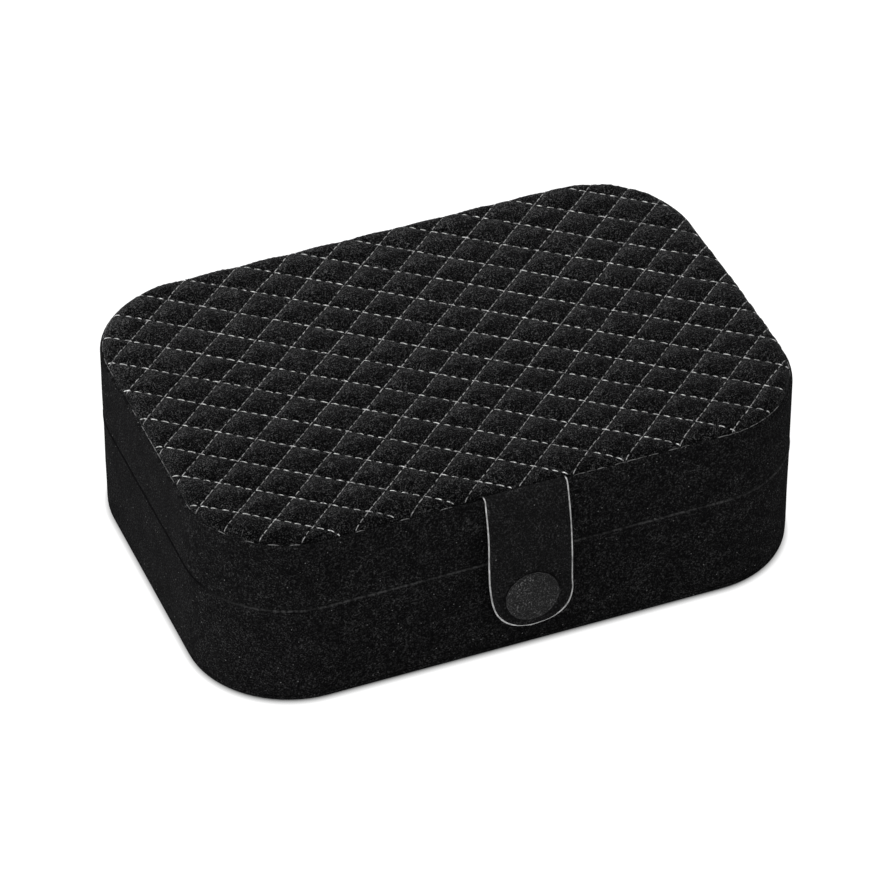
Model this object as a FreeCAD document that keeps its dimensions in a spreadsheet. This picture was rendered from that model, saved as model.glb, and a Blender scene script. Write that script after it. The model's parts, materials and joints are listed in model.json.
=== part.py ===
import FreeCAD, Part
import math
import os
import re

import Sketcher
from FreeCAD import Rotation, Vector

# Velvet jewellery case: a hollow base and lid of velvet-covered board, a quilted top panel,
# two small butt hinges at the back and a press-stud tab at the front.
# Millimetres. The origin is the centre of the underside, +X right, +Y back, +Z up.

# Driving sizes: name, value, what it is
SIZES = (
    ("case_length", 160.0, "outside of the velvet, left to right"),
    ("case_depth", 110.0, "outside of the velvet, front to back"),
    ("corner_radius", 27.0, "upright corners, outside"),
    ("base_height", 30.0, "underside to the middle of the parting line"),
    ("lid_height", 20.0, "middle of the parting line to the top of the lid's band"),
    ("part_gap", 0.3, "between the two rims"),
    ("velvet", 0.8, "cover on walls, pile included"),
    ("rim_velvet", 0.5, "cover pressed flat over the rims"),
    ("wall_board", 2.2, "board of the walls"),
    ("lining", 1.2, "velvet on thin card inside the walls"),
    ("lining_drop", 1.0, "from a rim to the edge of the lining"),
    ("fit_gap", 0.1, "room round glued-in pieces"),
    ("bottom_board", 2.0, "bottom panel"),
    ("bottom_inset", 0.3, "bottom panel behind the wall's velvet"),
    ("bottom_edge", 1.0, "bevel under the bottom panel"),
    ("band_edge", 0.7, "bevel of the lid's top edge"),
    ("tray_floor", 1.2, "velvet-covered card on the bottom"),
    ("lid_board", 2.0, "top board of the lid"),
    ("divider_board", 2.4, "covered divider"),
    ("divider_height", 20.0, "above the floor"),
    ("ring_bank", 54.0, "clear width between the long dividers"),
    ("roll_count", 7, "ring bars"),
    ("roll_height", 17.0, "above the floor"),
    ("roll_gap", 0.3, "between bars"),
    ("roll_draw_in", 0.8, "each side, from the shoulder to the floor"),
    ("mirror_length", 122.0, "glass, left to right"),
    ("mirror_depth", 74.0, "glass, front to back"),
    ("mirror_corner", 8.0, "glass"),
    ("mirror_thickness", 2.0, "glass"),
    ("mirror_lip", 2.0, "frame over the edge of the glass"),
    ("frame_lip_thickness", 1.4, "frame under the glass"),
    ("hinge_spacing", 64.0, "between the middles of the hinges"),
    ("hinge_width", 24.0, "leaf and barrel"),
    ("axis_off_board", 0.2, "pin's axis outside the back board, within the velvet"),
    ("barrel_diameter", 3.0, "hinge barrel"),
    ("barrel_room", 0.2, "round the barrel in the rims"),
    ("middle_knuckle", 8.0, "length of the lid's knuckle"),
    ("knuckle_gap", 0.15, "between knuckles"),
    ("pin_diameter", 1.6, "hinge pin"),
    ("pin_clearance", 0.05, "round the pin in the lid's knuckle"),
    ("leaf", 0.6, "steel of the leaves"),
    ("leaf_gap", 0.2, "between closed leaves"),
    ("leaf_drop", 9.0, "leaf along the inside of the wall"),
    ("open_angle", 105.0, "lid open, where the bevelled rims meet"),
    ("stop_ease", 0.7, "degrees left between each bevel and the stop"),
    ("quilt_inset", 0.8, "panel's edge behind the band's face"),
    ("quilt_thickness", 2.2, "crown of the panel above the band"),
    ("quilt_edge", 1.5, "roll of the panel's edge"),
    ("quilt_pitch", 9.3, "between stitch lines of one family"),
    ("quilt_angle", 39.8, "stitch lines to the case's length, degrees"),
    ("quilt_skew", 1.3, "fabric turned on the panel, degrees"),
    ("falling_start", 1.35, "first falling stitch line from the middle"),
    ("rising_start", -1.78, "first rising stitch line from the middle"),
    ("channel_width", 8.2, "sewn channel"),
    ("channel_floor", 1.0, "panel left under a sewn channel"),
    ("padding", 0.6, "foam under the quilted panel"),
    ("padding_inset", 3.0, "foam's edge behind the band's face"),
    ("tab_width", 22.0, "closing tab"),
    ("tab_offset", -1.5, "tab's middle from the case's middle"),
    ("tab_end_height", 10.5, "lower end of the tab above the table"),
    ("tab_end_radius", 10.0, "lower corners of the tab"),
    ("tab_bend_height", 27.0, "where the tab starts to lean in to the lid"),
    ("tab_face", 0.5, "velvet ply"),
    ("tab_core", 0.5, "pale middle ply"),
    ("tab_backing", 0.4, "velvet ply next to the case"),
    ("tab_axis_out", 0.4, "fold's axis in front of the band"),
    ("tab_axis_up", 0.4, "fold's axis above the band"),
    ("fold_bead", 1.2, "diameter of the core's rolled upper end"),
    ("fold_room", 0.2, "round the rolled end"),
    ("tail_length", 8.5, "tab's end under the quilted panel"),
    ("tail_cover", 0.2, "panel left over the tab's end, under a sewn channel"),
    ("snap_height", 21.0, "middle of the press stud above the table"),
    ("snap_gap", 0.1, "between stud and socket before they are pressed"),
    ("stud_flange_diameter", 8.0, "stud on the wall"),
    ("stud_flange", 0.4, "stud on the wall"),
    ("stud_head_diameter", 3.8, "widest part of the stud"),
    ("stud_neck_diameter", 3.2, "stud at its flange"),
    ("stud_head", 1.5, "stud's height on its flange"),
    ("post_flange_diameter", 8.0, "post inside the wall"),
    ("post_flange", 0.5, "post inside the wall"),
    ("post_diameter", 2.2, "post through the wall"),
    ("socket_diameter", 9.5, "socket behind the tab"),
    ("socket_depth", 1.9, "socket behind the tab"),
    ("socket_back", 0.4, "socket's back wall"),
    ("socket_room", 0.25, "round the stud in the socket"),
    ("cap_diameter", 12.5, "metal cap on the tab"),
    ("cap_height", 1.6, "metal cap on the tab"),
    ("cap_shank_diameter", 2.4, "cap's shank through the tab"),
    ("cap_edge", 0.9, "bevel of the covered cap"),
    ("cap_velvet", 0.65, "velvet over the cap"),
)

# Places and sizes that follow from the driving sizes
PLACES = {
    "half_length": "case_length / 2",
    "half_depth": "case_depth / 2",
    "wall_inset": "velvet + wall_board",
    "room_inset": "wall_inset + lining",
    "base_rim": "base_height - part_gap / 2",
    "lid_rim": "base_height + part_gap / 2",
    "band_top": "base_height + lid_height",
    "board_top": "band_top - velvet",
    "board_under": "board_top - lid_board",
    "floor_top": "bottom_board + tray_floor",
    "room_depth": "case_depth - 2 * room_inset",
    "divider_x": "ring_bank / 2 + divider_board / 2",
    "roll_pitch": "room_depth / roll_count",
    "roll_width": "roll_pitch - roll_gap",
    "frame_under": "board_under - mirror_thickness - frame_lip_thickness",
    "hinge_x": "hinge_spacing / 2",
    "hinge_y": "half_depth - velvet + axis_off_board",
    "back_board": "half_depth - wall_inset",
    "seat_width": "hinge_width + 2 * fit_gap",
    "bevel_angle": "open_angle / 2 + stop_ease",
    "bevel_reach": "2 * (half_depth - hinge_y)",
    "leaf_face": "leaf_gap / 2",
    "quilt_top": "band_top + quilt_thickness",
    "channel_depth": "quilt_thickness - channel_floor",
    "quilt_reach": "(half_length - corner_radius) * sin(quilt_angle)"
                   " + (half_depth - corner_radius) * cos(quilt_angle) + corner_radius - quilt_inset",
    "channel_steps": "floor(quilt_reach / quilt_pitch)",
    "tab_thickness": "tab_face + tab_core + tab_backing",
    "tab_gap": "stud_flange + stud_head + snap_gap + socket_depth",
    "tab_inner": "0 - half_depth - tab_gap",
    "tab_middle": "tab_inner - tab_thickness / 2",
    "tab_outer": "tab_inner - tab_thickness",
    "fold_y": "0 - half_depth - tab_axis_out",
    "fold_z": "band_top + tab_axis_up",
    "tab_lean": "fold_y - tab_middle",
    "tab_rise": "fold_z - tab_bend_height",
    "tab_bend_radius": "(tab_rise ^ 2 + tab_lean ^ 2) / (2 * tab_lean)",
    "tail_front": "fold_y + fold_bead / 2 + fold_room",
    "tail_back": "tail_front + tail_length",
    "tail_thickness": "channel_floor - tail_cover - fit_gap",
    "stud_face": "0 - half_depth - stud_flange",
    "stud_tip": "stud_face - stud_head",
    "socket_mouth": "stud_tip - snap_gap",
    "socket_radius": "stud_head_diameter / 2 + socket_room",
    "cap_front": "tab_outer - cap_height",
    "cover_radius": "cap_diameter / 2 + cap_velvet",
}

doc = FreeCAD.newDocument("jewellery_case")
sheet = doc.addObject("Spreadsheet::Sheet", "sizes")
for row, (alias, value, meaning) in enumerate(SIZES, start=1):
    sheet.set(f"A{row}", alias)
    sheet.set(f"B{row}", str(value))
    sheet.setAlias(f"B{row}", alias)
    sheet.set(f"C{row}", meaning)
doc.recompute()

ALIASES = {alias for alias, value, meaning in SIZES}
UPRIGHT = Vector(0, 0, 1)
ORIGIN = (-1, 1)
sub_parts = []


def expr(text):
    """A size written with the names above, as an expression on the sheet's cells."""
    def spell_out(match):
        word = match.group()
        if word in PLACES:
            return f"({expr(PLACES[word])})"
        return f"sizes.{word}" if word in ALIASES else word
    return re.sub(r"[a-z][a-z_]*", spell_out, str(text))


def num(text):
    """The present value of such a size."""
    return float(sheet.evalExpression(expr(text)))


# Sketch helpers


def bind(sketch, constraint, text):
    """Adds a constraint to a sketch and binds its value to a size."""
    index = sketch.addConstraint(constraint)
    sketch.renameConstraint(index, f"size_{index}")
    sketch.setExpression(f"Constraints.size_{index}", expr(text))


def hold_point(sketch, edge, end, x, y):
    """Holds one point of a sketch at a named place."""
    bind(sketch, Sketcher.Constraint("DistanceX", *ORIGIN, edge, end, num(x)), x)
    bind(sketch, Sketcher.Constraint("DistanceY", *ORIGIN, edge, end, num(y)), y)


def arc_between(start, end, radius, side):
    """A short arc from start to end, with its centre left (1) or right (-1) of the chord."""
    chord = end - start
    across = Vector(-chord.y, chord.x).normalize()
    rise = math.sqrt(max(radius ** 2 - (chord.Length / 2) ** 2, 0))
    centre = (start + end) / 2 + across * rise * side
    first, last = (start, end) if side > 0 else (end, start)
    angles = [math.atan2(p.y - centre.y, p.x - centre.x) for p in (first, last)]
    return Part.ArcOfCircle(Part.Circle(centre, UPRIGHT, radius), *angles)


def chain(sketch, corners, arcs=None, closed=True):
    """Lines and arcs through named corners.

    arcs gives an arc's radius and side by the number of its first corner.
    """
    arcs = arcs or {}
    points = [Vector(num(x), num(y)) for x, y in corners]
    count = len(corners) if closed else len(corners) - 1
    edges = []
    for step in range(count):
        start, end = points[step], points[(step + 1) % len(points)]
        radius, side = arcs.get(step, (None, 1))
        shape = arc_between(start, end, num(radius), side) if radius else Part.LineSegment(start, end)
        first, last = (1, 2) if side > 0 else (2, 1)
        edge = sketch.addGeometry(shape)
        if radius:
            bind(sketch, Sketcher.Constraint("Radius", edge, num(radius)), radius)
        if edges:
            before, end_before = edges[-1]
            sketch.addConstraint(Sketcher.Constraint("Coincident", before, end_before, edge, first))
        hold_point(sketch, edge, first, *corners[step])
        edges.append((edge, last))
    edge, last = edges[-1]
    if closed:
        first_edge, its_end = edges[0]
        sketch.addConstraint(Sketcher.Constraint("Coincident", edge, last, first_edge, 3 - its_end))
    else:
        hold_point(sketch, edge, last, *corners[-1])


def rectangle(sketch, left, low, right, high):
    """An upright rectangle between named sides."""
    chain(sketch, [(left, low), (right, low), (right, high), (left, high)])


def circle(sketch, x, y, radius):
    """A circle at a named place."""
    edge = sketch.addGeometry(Part.Circle(Vector(num(x), num(y)), UPRIGHT, num(radius)))
    hold_point(sketch, edge, 3, x, y)
    bind(sketch, Sketcher.Constraint("Radius", edge, num(radius)), radius)


def rounded_rectangle(sketch, length, depth, radius):
    """A rectangle with round corners about the middle of the case."""
    half_x, half_y, r = num(length) / 2, num(depth) / 2, num(radius)
    arcs = []
    for quarter in range(4):
        x = (half_x - r) * (1 if quarter in (0, 3) else -1)
        y = (half_y - r) * (1 if quarter in (0, 1) else -1)
        start = quarter * math.pi / 2
        round_corner = Part.ArcOfCircle(Part.Circle(Vector(x, y), UPRIGHT, r), start, start + math.pi / 2)
        arcs.append(sketch.addGeometry(round_corner))
    sides = []
    for corner, after in zip(arcs, arcs[1:] + arcs[:1]):
        line = Part.LineSegment(sketch.getPoint(corner, 2), sketch.getPoint(after, 1))
        side = sketch.addGeometry(line)
        sketch.addConstraint(Sketcher.Constraint("Tangent", corner, 2, side, 1))
        sketch.addConstraint(Sketcher.Constraint("Tangent", side, 2, after, 1))
        sides.append(side)
    for other in arcs[1:]:
        sketch.addConstraint(Sketcher.Constraint("Equal", arcs[0], other))
    back, left, front, right = sides
    for side, kind in ((back, "Horizontal"), (left, "Vertical"), (front, "Horizontal"), (right, "Vertical")):
        sketch.addConstraint(Sketcher.Constraint(kind, side))
    bind(sketch, Sketcher.Constraint("Radius", arcs[0], r), radius)
    bind(sketch, Sketcher.Constraint("DistanceX", *ORIGIN, right, 1, half_x), f"({length}) / 2")
    bind(sketch, Sketcher.Constraint("DistanceX", left, 1, *ORIGIN, half_x), f"({length}) / 2")
    bind(sketch, Sketcher.Constraint("DistanceY", *ORIGIN, back, 1, half_y), f"({depth}) / 2")
    bind(sketch, Sketcher.Constraint("DistanceY", front, 1, *ORIGIN, half_y), f"({depth}) / 2")


def outline(sketch, inset):
    """The case's outline in plan, drawn in from the outside of the velvet."""
    rounded_rectangle(sketch, f"case_length - 2 * ({inset})", f"case_depth - 2 * ({inset})",
                      f"corner_radius - ({inset})")


# Feature helpers


def new_body(label):
    """A sub-part that is built from sketches."""
    body = doc.addObject("PartDesign::Body", label)
    body.Label = label
    sub_parts.append(body)
    return body


def sketch_on(body, role, offset="0"):
    """A sketch on one of the body's own planes, moved along the plane's normal."""
    plane = next(feature for feature in body.Origin.OriginFeatures if feature.Role == role)
    sketch = body.newObject("Sketcher::SketchObject", f"{body.Label}_sketch")
    sketch.AttachmentSupport = (plane, [""])
    sketch.MapMode = "FlatFace"
    sketch.setExpression("AttachmentOffset.Base.z", expr(offset))
    return sketch


def plan(body, height):
    """A sketch seen from above, at a height: X right, Y back."""
    return sketch_on(body, "XY_Plane", height)


def side_view(body, x="0"):
    """A sketch seen from the right, at a place along the length: Y right, Z up."""
    return sketch_on(body, "YZ_Plane", x)


def front_view(body, y="0"):
    """A sketch seen from the front, at a place along the depth: X right, Z up."""
    return sketch_on(body, "XZ_Plane", f"0 - ({y})")


def pad(body, sketch, length, both_ways=False):
    """Adds a sketch's area over a length, along its normal or half each way."""
    feature = body.newObject("PartDesign::Pad", f"{body.Label}_pad")
    feature.Profile = sketch
    feature.SideType = "Symmetric" if both_ways else "One side"
    feature.setExpression("Length", expr(length))
    doc.recompute()
    return feature


def pocket(body, sketch, length, both_ways=False, along=False):
    """Cuts a sketch's area away, against its normal, along it or half each way."""
    before = body.Shape.Volume
    feature = body.newObject("PartDesign::Pocket", f"{body.Label}_pocket")
    feature.Profile = sketch
    feature.SideType = "Symmetric" if both_ways else "One side"
    feature.Reversed = along
    feature.setExpression("Length", expr(length))
    doc.recompute()
    if body.Shape.Volume >= before:
        raise ValueError(f"a cut in {body.Label} removes nothing")
    return feature


def ease_edges(body, kind, size_name, size, chosen):
    """Dresses the edges of a body that a test picks."""
    base = body.Tip
    names = [f"Edge{number}" for number, edge in enumerate(base.Shape.Edges, start=1) if chosen(edge)]
    feature = body.newObject(f"PartDesign::{kind}", f"{body.Label}_{kind.lower()}")
    feature.Base = (base, names)
    feature.setExpression(size_name, expr(size))
    doc.recompute()


def round_edges(body, radius, chosen):
    """Rounds the edges that a test picks."""
    ease_edges(body, "Fillet", "Radius", radius, chosen)


def bevel_edges(body, size, chosen):
    """Bevels the edges that a test picks."""
    ease_edges(body, "Chamfer", "Size", size, chosen)


def level_edge(height, inset=None):
    """A test for the edges at a height, and if an inset is given only those of that outline."""
    z = num(height)
    margin = 0.05

    def chosen(edge):
        box = edge.BoundBox
        if abs(box.ZMin - z) > margin or abs(box.ZMax - z) > margin:
            return False
        if inset is None:
            return True
        reach_x = num(f"half_length - ({inset})")
        reach_y = num(f"half_depth - ({inset})")
        on_x = max(abs(box.XMin), abs(box.XMax)) > reach_x - margin
        on_y = max(abs(box.YMin), abs(box.YMax)) > reach_y - margin
        return on_x or on_y
    return chosen


def slab(label, inset, low, high):
    """A flat piece of the case's outline between two heights."""
    body = new_body(label)
    sketch = plan(body, low)
    outline(sketch, inset)
    pad(body, sketch, f"({high}) - ({low})")
    return body


def hoop(body, outer, inner, low, high):
    """A band round the case between two insets and two heights."""
    sketch = plan(body, low)
    outline(sketch, outer)
    outline(sketch, inner)
    pad(body, sketch, f"({high}) - ({low})")


def turned(label, profile, x="tab_offset", z="snap_height"):
    """A turned piece about an axis along Y; the profile is pairs of radius and place along Y."""
    body = new_body(label)
    sketch = sketch_on(body, "XY_Plane")
    chain(sketch, profile)
    feature = body.newObject("PartDesign::Revolution", f"{label}_turned")
    feature.Profile = sketch
    feature.ReferenceAxis = (sketch, ["V_Axis"])
    feature.Angle = 360
    body.setExpression("Placement.Base.x", expr(x))
    body.setExpression("Placement.Base.z", expr(z))
    doc.recompute()
    return body


# Seats of the hinges and the press stud


def signed(place, up):
    """A height measured from the parting line, upward in the lid and downward in the base."""
    return f"base_height {'+' if up else '-'} ({place})"


def bevel_back_rim(body, up):
    """Bevels the back rim from the hinge axis outward, so that the open lid stops on it."""
    sketch = side_view(body)
    corners = [("hinge_y", "base_height"), ("hinge_y + bevel_reach", "base_height"),
               ("hinge_y + bevel_reach", signed("bevel_reach * tan(bevel_angle)", up))]
    chain(sketch, corners)
    pocket(body, sketch, "case_length", both_ways=True)


def seat_hinges(body, up):
    """Lets the barrels and the leaves into a rim."""
    for side in ("hinge_x", "0 - hinge_x"):
        sketch = side_view(body, side)
        rectangle(sketch, "back_board - lining", "base_height", "half_depth + barrel_diameter",
                  signed("barrel_diameter / 2 + barrel_room", up))
        pocket(body, sketch, "seat_width", both_ways=True)


def notch_lining(body, up):
    """Cuts the lining away round the leaves."""
    for side in ("hinge_x", "0 - hinge_x"):
        sketch = side_view(body, side)
        rectangle(sketch, "half_depth - room_inset - lining", "base_height", "half_depth",
                  signed("leaf_face + leaf_drop + fit_gap", up))
        pocket(body, sketch, "seat_width", both_ways=True)


def drill_front(body, radius, start, depth):
    """A round hole at the press stud, cut backward from a place along the depth."""
    sketch = front_view(body, start)
    circle(sketch, "tab_offset", "snap_height", radius)
    pocket(body, sketch, depth)


# Base

bottom_panel = slab("bottom_panel", "bottom_inset", "0", "bottom_board")
bevel_edges(bottom_panel, "bottom_edge", level_edge("0"))

base_wall = new_body("base_wall")
hoop(base_wall, "velvet", "wall_inset", "bottom_board", "base_rim - rim_velvet")
seat_hinges(base_wall, up=False)
drill_front(base_wall, "post_diameter / 2", "0 - half_depth", "wall_inset + fit_gap")

base_cover = new_body("base_cover")
hoop(base_cover, "0", "velvet", "bottom_board", "base_rim")
hoop(base_cover, "velvet", "wall_inset", "base_rim - rim_velvet", "base_rim")
bevel_back_rim(base_cover, up=False)
seat_hinges(base_cover, up=False)
drill_front(base_cover, "post_diameter / 2", "0 - half_depth", "velvet + fit_gap")

tray_lining = new_body("tray_lining")
hoop(tray_lining, "wall_inset", "room_inset", "bottom_board", "base_rim - lining_drop")
notch_lining(tray_lining, up=False)
drill_front(tray_lining, "post_flange_diameter / 2 + fit_gap", "0 - half_depth",
            "wall_inset + post_flange + fit_gap")

slab("tray_floor", "room_inset + fit_gap", "bottom_board", "floor_top")


def divider(label, left, low, right, high):
    """A covered board on the floor, with a rounded top."""
    body = new_body(label)
    sketch = plan(body, "floor_top")
    rectangle(sketch, left, low, right, high)
    pad(body, sketch, "divider_height")
    top = level_edge("floor_top + divider_height")
    long_edge = 2 * num("divider_board")
    round_edges(body, "divider_board * 0.45", lambda edge: top(edge) and edge.Length > long_edge)


ends = ("0 - room_depth / 2 + fit_gap", "room_depth / 2 - fit_gap")
for name, middle in (("left_divider", "0 - divider_x"), ("right_divider", "divider_x")):
    divider(name, f"{middle} - divider_board / 2", ends[0], f"{middle} + divider_board / 2", ends[1])
divider("cross_divider", "divider_x + divider_board / 2 + fit_gap", "0 - divider_board / 2",
        "half_length - room_inset - fit_gap", "divider_board / 2")

# Each ring bar is a foam bar drawn in at the floor, with a half-round top
for number in range(1, int(num("roll_count")) + 1):
    roll = new_body(f"ring_roll_{number}")
    sketch = side_view(roll)
    shoulder = "floor_top + roll_height - roll_width / 2"
    foot = "roll_width / 2 - roll_draw_in"
    chain(sketch,
          [(f"0 - ({foot})", "floor_top"), (foot, "floor_top"), ("roll_width / 2", shoulder),
           ("0", "floor_top + roll_height"), ("0 - roll_width / 2", shoulder)],
          arcs={2: ("roll_width / 2", 1), 3: ("roll_width / 2", 1)})
    pad(roll, sketch, "ring_bank - 2 * fit_gap", both_ways=True)
    place = f"({number} - 0.5) * roll_pitch - room_depth / 2"
    roll.setExpression("Placement.Base.y", expr(place))

# Press stud: its flange lies on the front velvet, and the post holds it from inside the wall
turned("snap_stud", [
    ("0", "0 - half_depth"), ("stud_flange_diameter / 2", "0 - half_depth"),
    ("stud_flange_diameter / 2", "stud_face"), ("stud_neck_diameter / 2", "stud_face"),
    ("stud_head_diameter / 2", "stud_face - stud_head / 2"),
    ("stud_neck_diameter / 2", "stud_tip"), ("0", "stud_tip")])
turned("stud_post", [
    ("0", "0 - half_depth + wall_inset + post_flange"), ("0", "0 - half_depth"),
    ("post_diameter / 2", "0 - half_depth"), ("post_diameter / 2", "0 - half_depth + wall_inset"),
    ("post_flange_diameter / 2", "0 - half_depth + wall_inset"),
    ("post_flange_diameter / 2", "0 - half_depth + wall_inset + post_flange")])

# Hinges: each leaf crosses a rim and lies along the inside of the wall


def hinge_leaf(label, up, x):
    """One leaf with its knuckles about the pin's axis."""
    body = new_body(label)
    knuckle_end = "middle_knuckle / 2 + knuckle_gap"
    profile = side_view(body)
    near = signed("leaf_face", up)
    far = signed("leaf_face + leaf", up)
    foot = signed("leaf_face + leaf_drop", up)
    chain(profile, [("hinge_y", near), ("back_board - leaf", near), ("back_board - leaf", foot),
                    ("back_board", foot), ("back_board", far), ("hinge_y", far)])
    pad(body, profile, "hinge_width", both_ways=True)
    barrel = side_view(body)
    circle(barrel, "hinge_y", "base_height", "barrel_diameter / 2")
    pad(body, barrel, "middle_knuckle" if up else "hinge_width", both_ways=True)
    room = plan(body, "base_height - barrel_diameter")
    clear_y = ("hinge_y - barrel_diameter / 2 - barrel_room", "half_depth + barrel_diameter")
    if up:
        rectangle(room, knuckle_end, clear_y[0], "hinge_width", clear_y[1])
        rectangle(room, "0 - hinge_width", clear_y[0], f"0 - ({knuckle_end})", clear_y[1])
    else:
        rectangle(room, f"0 - ({knuckle_end})", clear_y[0], knuckle_end, clear_y[1])
    pocket(body, room, "2 * barrel_diameter", along=True)
    bore = side_view(body)
    circle(bore, "hinge_y", "base_height", "pin_diameter / 2 + pin_clearance" if up else "pin_diameter / 2")
    pocket(body, bore, "2 * hinge_width", both_ways=True)
    body.setExpression("Placement.Base.x", expr(x))


for hand, x in (("left", "0 - hinge_x"), ("right", "hinge_x")):
    hinge_leaf(f"hinge_base_leaf_{hand}", False, x)
    hinge_leaf(f"hinge_lid_leaf_{hand}", True, x)
    pin = doc.addObject("Part::Cylinder", f"hinge_pin_{hand}")
    pin.Label = f"hinge_pin_{hand}"
    pin.setExpression("Radius", expr("pin_diameter / 2"))
    pin.setExpression("Height", expr("hinge_width"))
    pin.Placement.Rotation = Rotation(Vector(0, 1, 0), 90)
    pin.setExpression("Placement.Base.x", expr(f"{x} - hinge_width / 2"))
    pin.setExpression("Placement.Base.y", expr("hinge_y"))
    pin.setExpression("Placement.Base.z", expr("base_height"))
    sub_parts.append(pin)


# Lid

lid_wall = new_body("lid_wall")
hoop(lid_wall, "velvet", "wall_inset", "lid_rim + rim_velvet", "board_under")
seat_hinges(lid_wall, up=True)

slab("lid_board", "velvet", "board_under", "board_top")

lid_cover = slab("lid_cover", "0", "board_top", "band_top")
hoop(lid_cover, "0", "velvet", "lid_rim", "board_top")
hoop(lid_cover, "velvet", "wall_inset", "lid_rim", "lid_rim + rim_velvet")
bevel_edges(lid_cover, "band_edge", level_edge("band_top", "0"))
bevel_back_rim(lid_cover, up=True)
seat_hinges(lid_cover, up=True)

lid_lining = new_body("lid_lining")
hoop(lid_lining, "wall_inset", "room_inset", "lid_rim + lining_drop", "board_under")
notch_lining(lid_lining, up=True)

mirror_frame = slab("mirror_frame", "room_inset + fit_gap", "frame_under", "board_under")
window = plan(mirror_frame, "frame_under")
rounded_rectangle(window, "mirror_length - 2 * mirror_lip", "mirror_depth - 2 * mirror_lip",
                  "mirror_corner - mirror_lip")
pocket(mirror_frame, window, "board_under - frame_under", along=True)
rebate = plan(mirror_frame, "board_under")
rounded_rectangle(rebate, "mirror_length + 2 * fit_gap", "mirror_depth + 2 * fit_gap",
                  "mirror_corner + fit_gap")
pocket(mirror_frame, rebate, "mirror_thickness")

mirror_glass = new_body("mirror_glass")
pane = plan(mirror_glass, "board_under - mirror_thickness")
rounded_rectangle(pane, "mirror_length", "mirror_depth", "mirror_corner")
pad(mirror_glass, pane, "mirror_thickness")

# Quilted panel: rolled edges, two families of sewn channels, hollows below for foam and tab


def sew_channels(body, angle, start):
    """Presses one family of parallel sewn channels into the panel's top."""
    sketch = front_view(body)
    sketch.AttachmentOffset.Rotation = Rotation(Vector(0, 1, 0), 0)
    sketch.setExpression("AttachmentOffset.Rotation.Axis.y", "1")
    sketch.setExpression("AttachmentOffset.Rotation.Angle", expr(f"{angle} + 90"))
    middle = f"{start} - channel_steps * quilt_pitch"
    left, right = f"{middle} - channel_width / 2", f"{middle} + channel_width / 2"
    chain(sketch, [(middle, "quilt_top - channel_depth"), (right, "quilt_top"), (left, "quilt_top")])
    cut = pocket(body, sketch, "2 * case_length", both_ways=True)
    rows = body.newObject("PartDesign::LinearPattern", f"{body.Label}_channels")
    rows.Originals = [cut]
    rows.Direction = (sketch, ["H_Axis"])
    rows.setExpression("Length", expr("2 * channel_steps * quilt_pitch"))
    rows.setExpression("Occurrences", expr("2 * channel_steps + 1"))
    body.Tip = rows
    doc.recompute()


def tail_room(body, low, height):
    """Clears the tab's glued-down end."""
    sketch = plan(body, low)
    rectangle(sketch, "tab_offset - tab_width / 2 - fit_gap", "0 - half_depth",
              "tab_offset + tab_width / 2 + fit_gap", "tail_back + fit_gap")
    pocket(body, sketch, height, along=True)


quilted_top = slab("quilted_top", "quilt_inset", "band_top", "quilt_top")
bevel_edges(quilted_top, "quilt_edge", level_edge("quilt_top"))
sew_channels(quilted_top, "quilt_skew - quilt_angle", "falling_start")
sew_channels(quilted_top, "quilt_skew + quilt_angle", "rising_start")
foam_bed = plan(quilted_top, "band_top")
outline(foam_bed, "padding_inset - fit_gap")
pocket(quilted_top, foam_bed, "padding", along=True)
tail_room(quilted_top, "band_top", "tail_thickness + fit_gap")

top_padding = slab("top_padding", "padding_inset", "band_top", "band_top + padding")
tail_room(top_padding, "band_top", "padding")

tail = doc.addObject("Part::Box", "tab_tail")
tail.Label = "tab_tail"
tail.setExpression("Length", expr("tab_width"))
tail.setExpression("Width", expr("tail_length"))
tail.setExpression("Height", expr("tail_thickness"))
tail.setExpression("Placement.Base.x", expr("tab_offset - tab_width / 2"))
tail.setExpression("Placement.Base.y", expr("tail_front"))
tail.setExpression("Placement.Base.z", expr("band_top"))
sub_parts.append(tail)

# Tab: three plies bent along one path, from the flat snap zone up to the fold


def tab_ply(label, outer, inner, stop):
    """One ply between two places along the depth, ending at a height near the fold."""
    body = new_body(label)
    section = plan(body, "tab_end_height")
    rectangle(section, "tab_offset - tab_width / 2", outer, "tab_offset + tab_width / 2", inner)
    path = side_view(body, "tab_offset")
    top_y = f"tab_middle + tab_bend_radius - sqrt(tab_bend_radius ^ 2 - ({stop} - tab_bend_height) ^ 2)"
    chain(path, [("tab_middle", "tab_end_height"), ("tab_middle", "tab_bend_height"), (top_y, stop)],
          arcs={1: ("tab_bend_radius", -1)}, closed=False)
    doc.recompute()
    sweep = body.newObject("PartDesign::AdditivePipe", f"{label}_sweep")
    sweep.Profile = section
    sweep.Spine = (path, ["Edge1", "Edge2"])
    doc.recompute()
    end_z = num("tab_end_height")
    ply = abs(num(outer) - num(inner))
    round_edges(body, "tab_end_radius", lambda edge: abs(edge.BoundBox.ZMax - end_z) < 0.01
                and edge.Length < 2 * ply)
    drill_front(body, "cap_shank_diameter / 2", "tab_outer - fit_gap", "tab_thickness + 2 * fit_gap")
    return body


tab_ply("tab_face", "tab_outer", "tab_outer + tab_face", "fold_z - fold_bead")
tab_ply("tab_backing", "tab_inner - tab_backing", "tab_inner", "fold_z - fold_bead")
tab_core = tab_ply("tab_core", "tab_outer + tab_face", "tab_inner - tab_backing", "fold_z")
bead = side_view(tab_core, "tab_offset")
circle(bead, "fold_y", "fold_z", "fold_bead / 2")
pad(tab_core, bead, "tab_width", both_ways=True)

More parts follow.
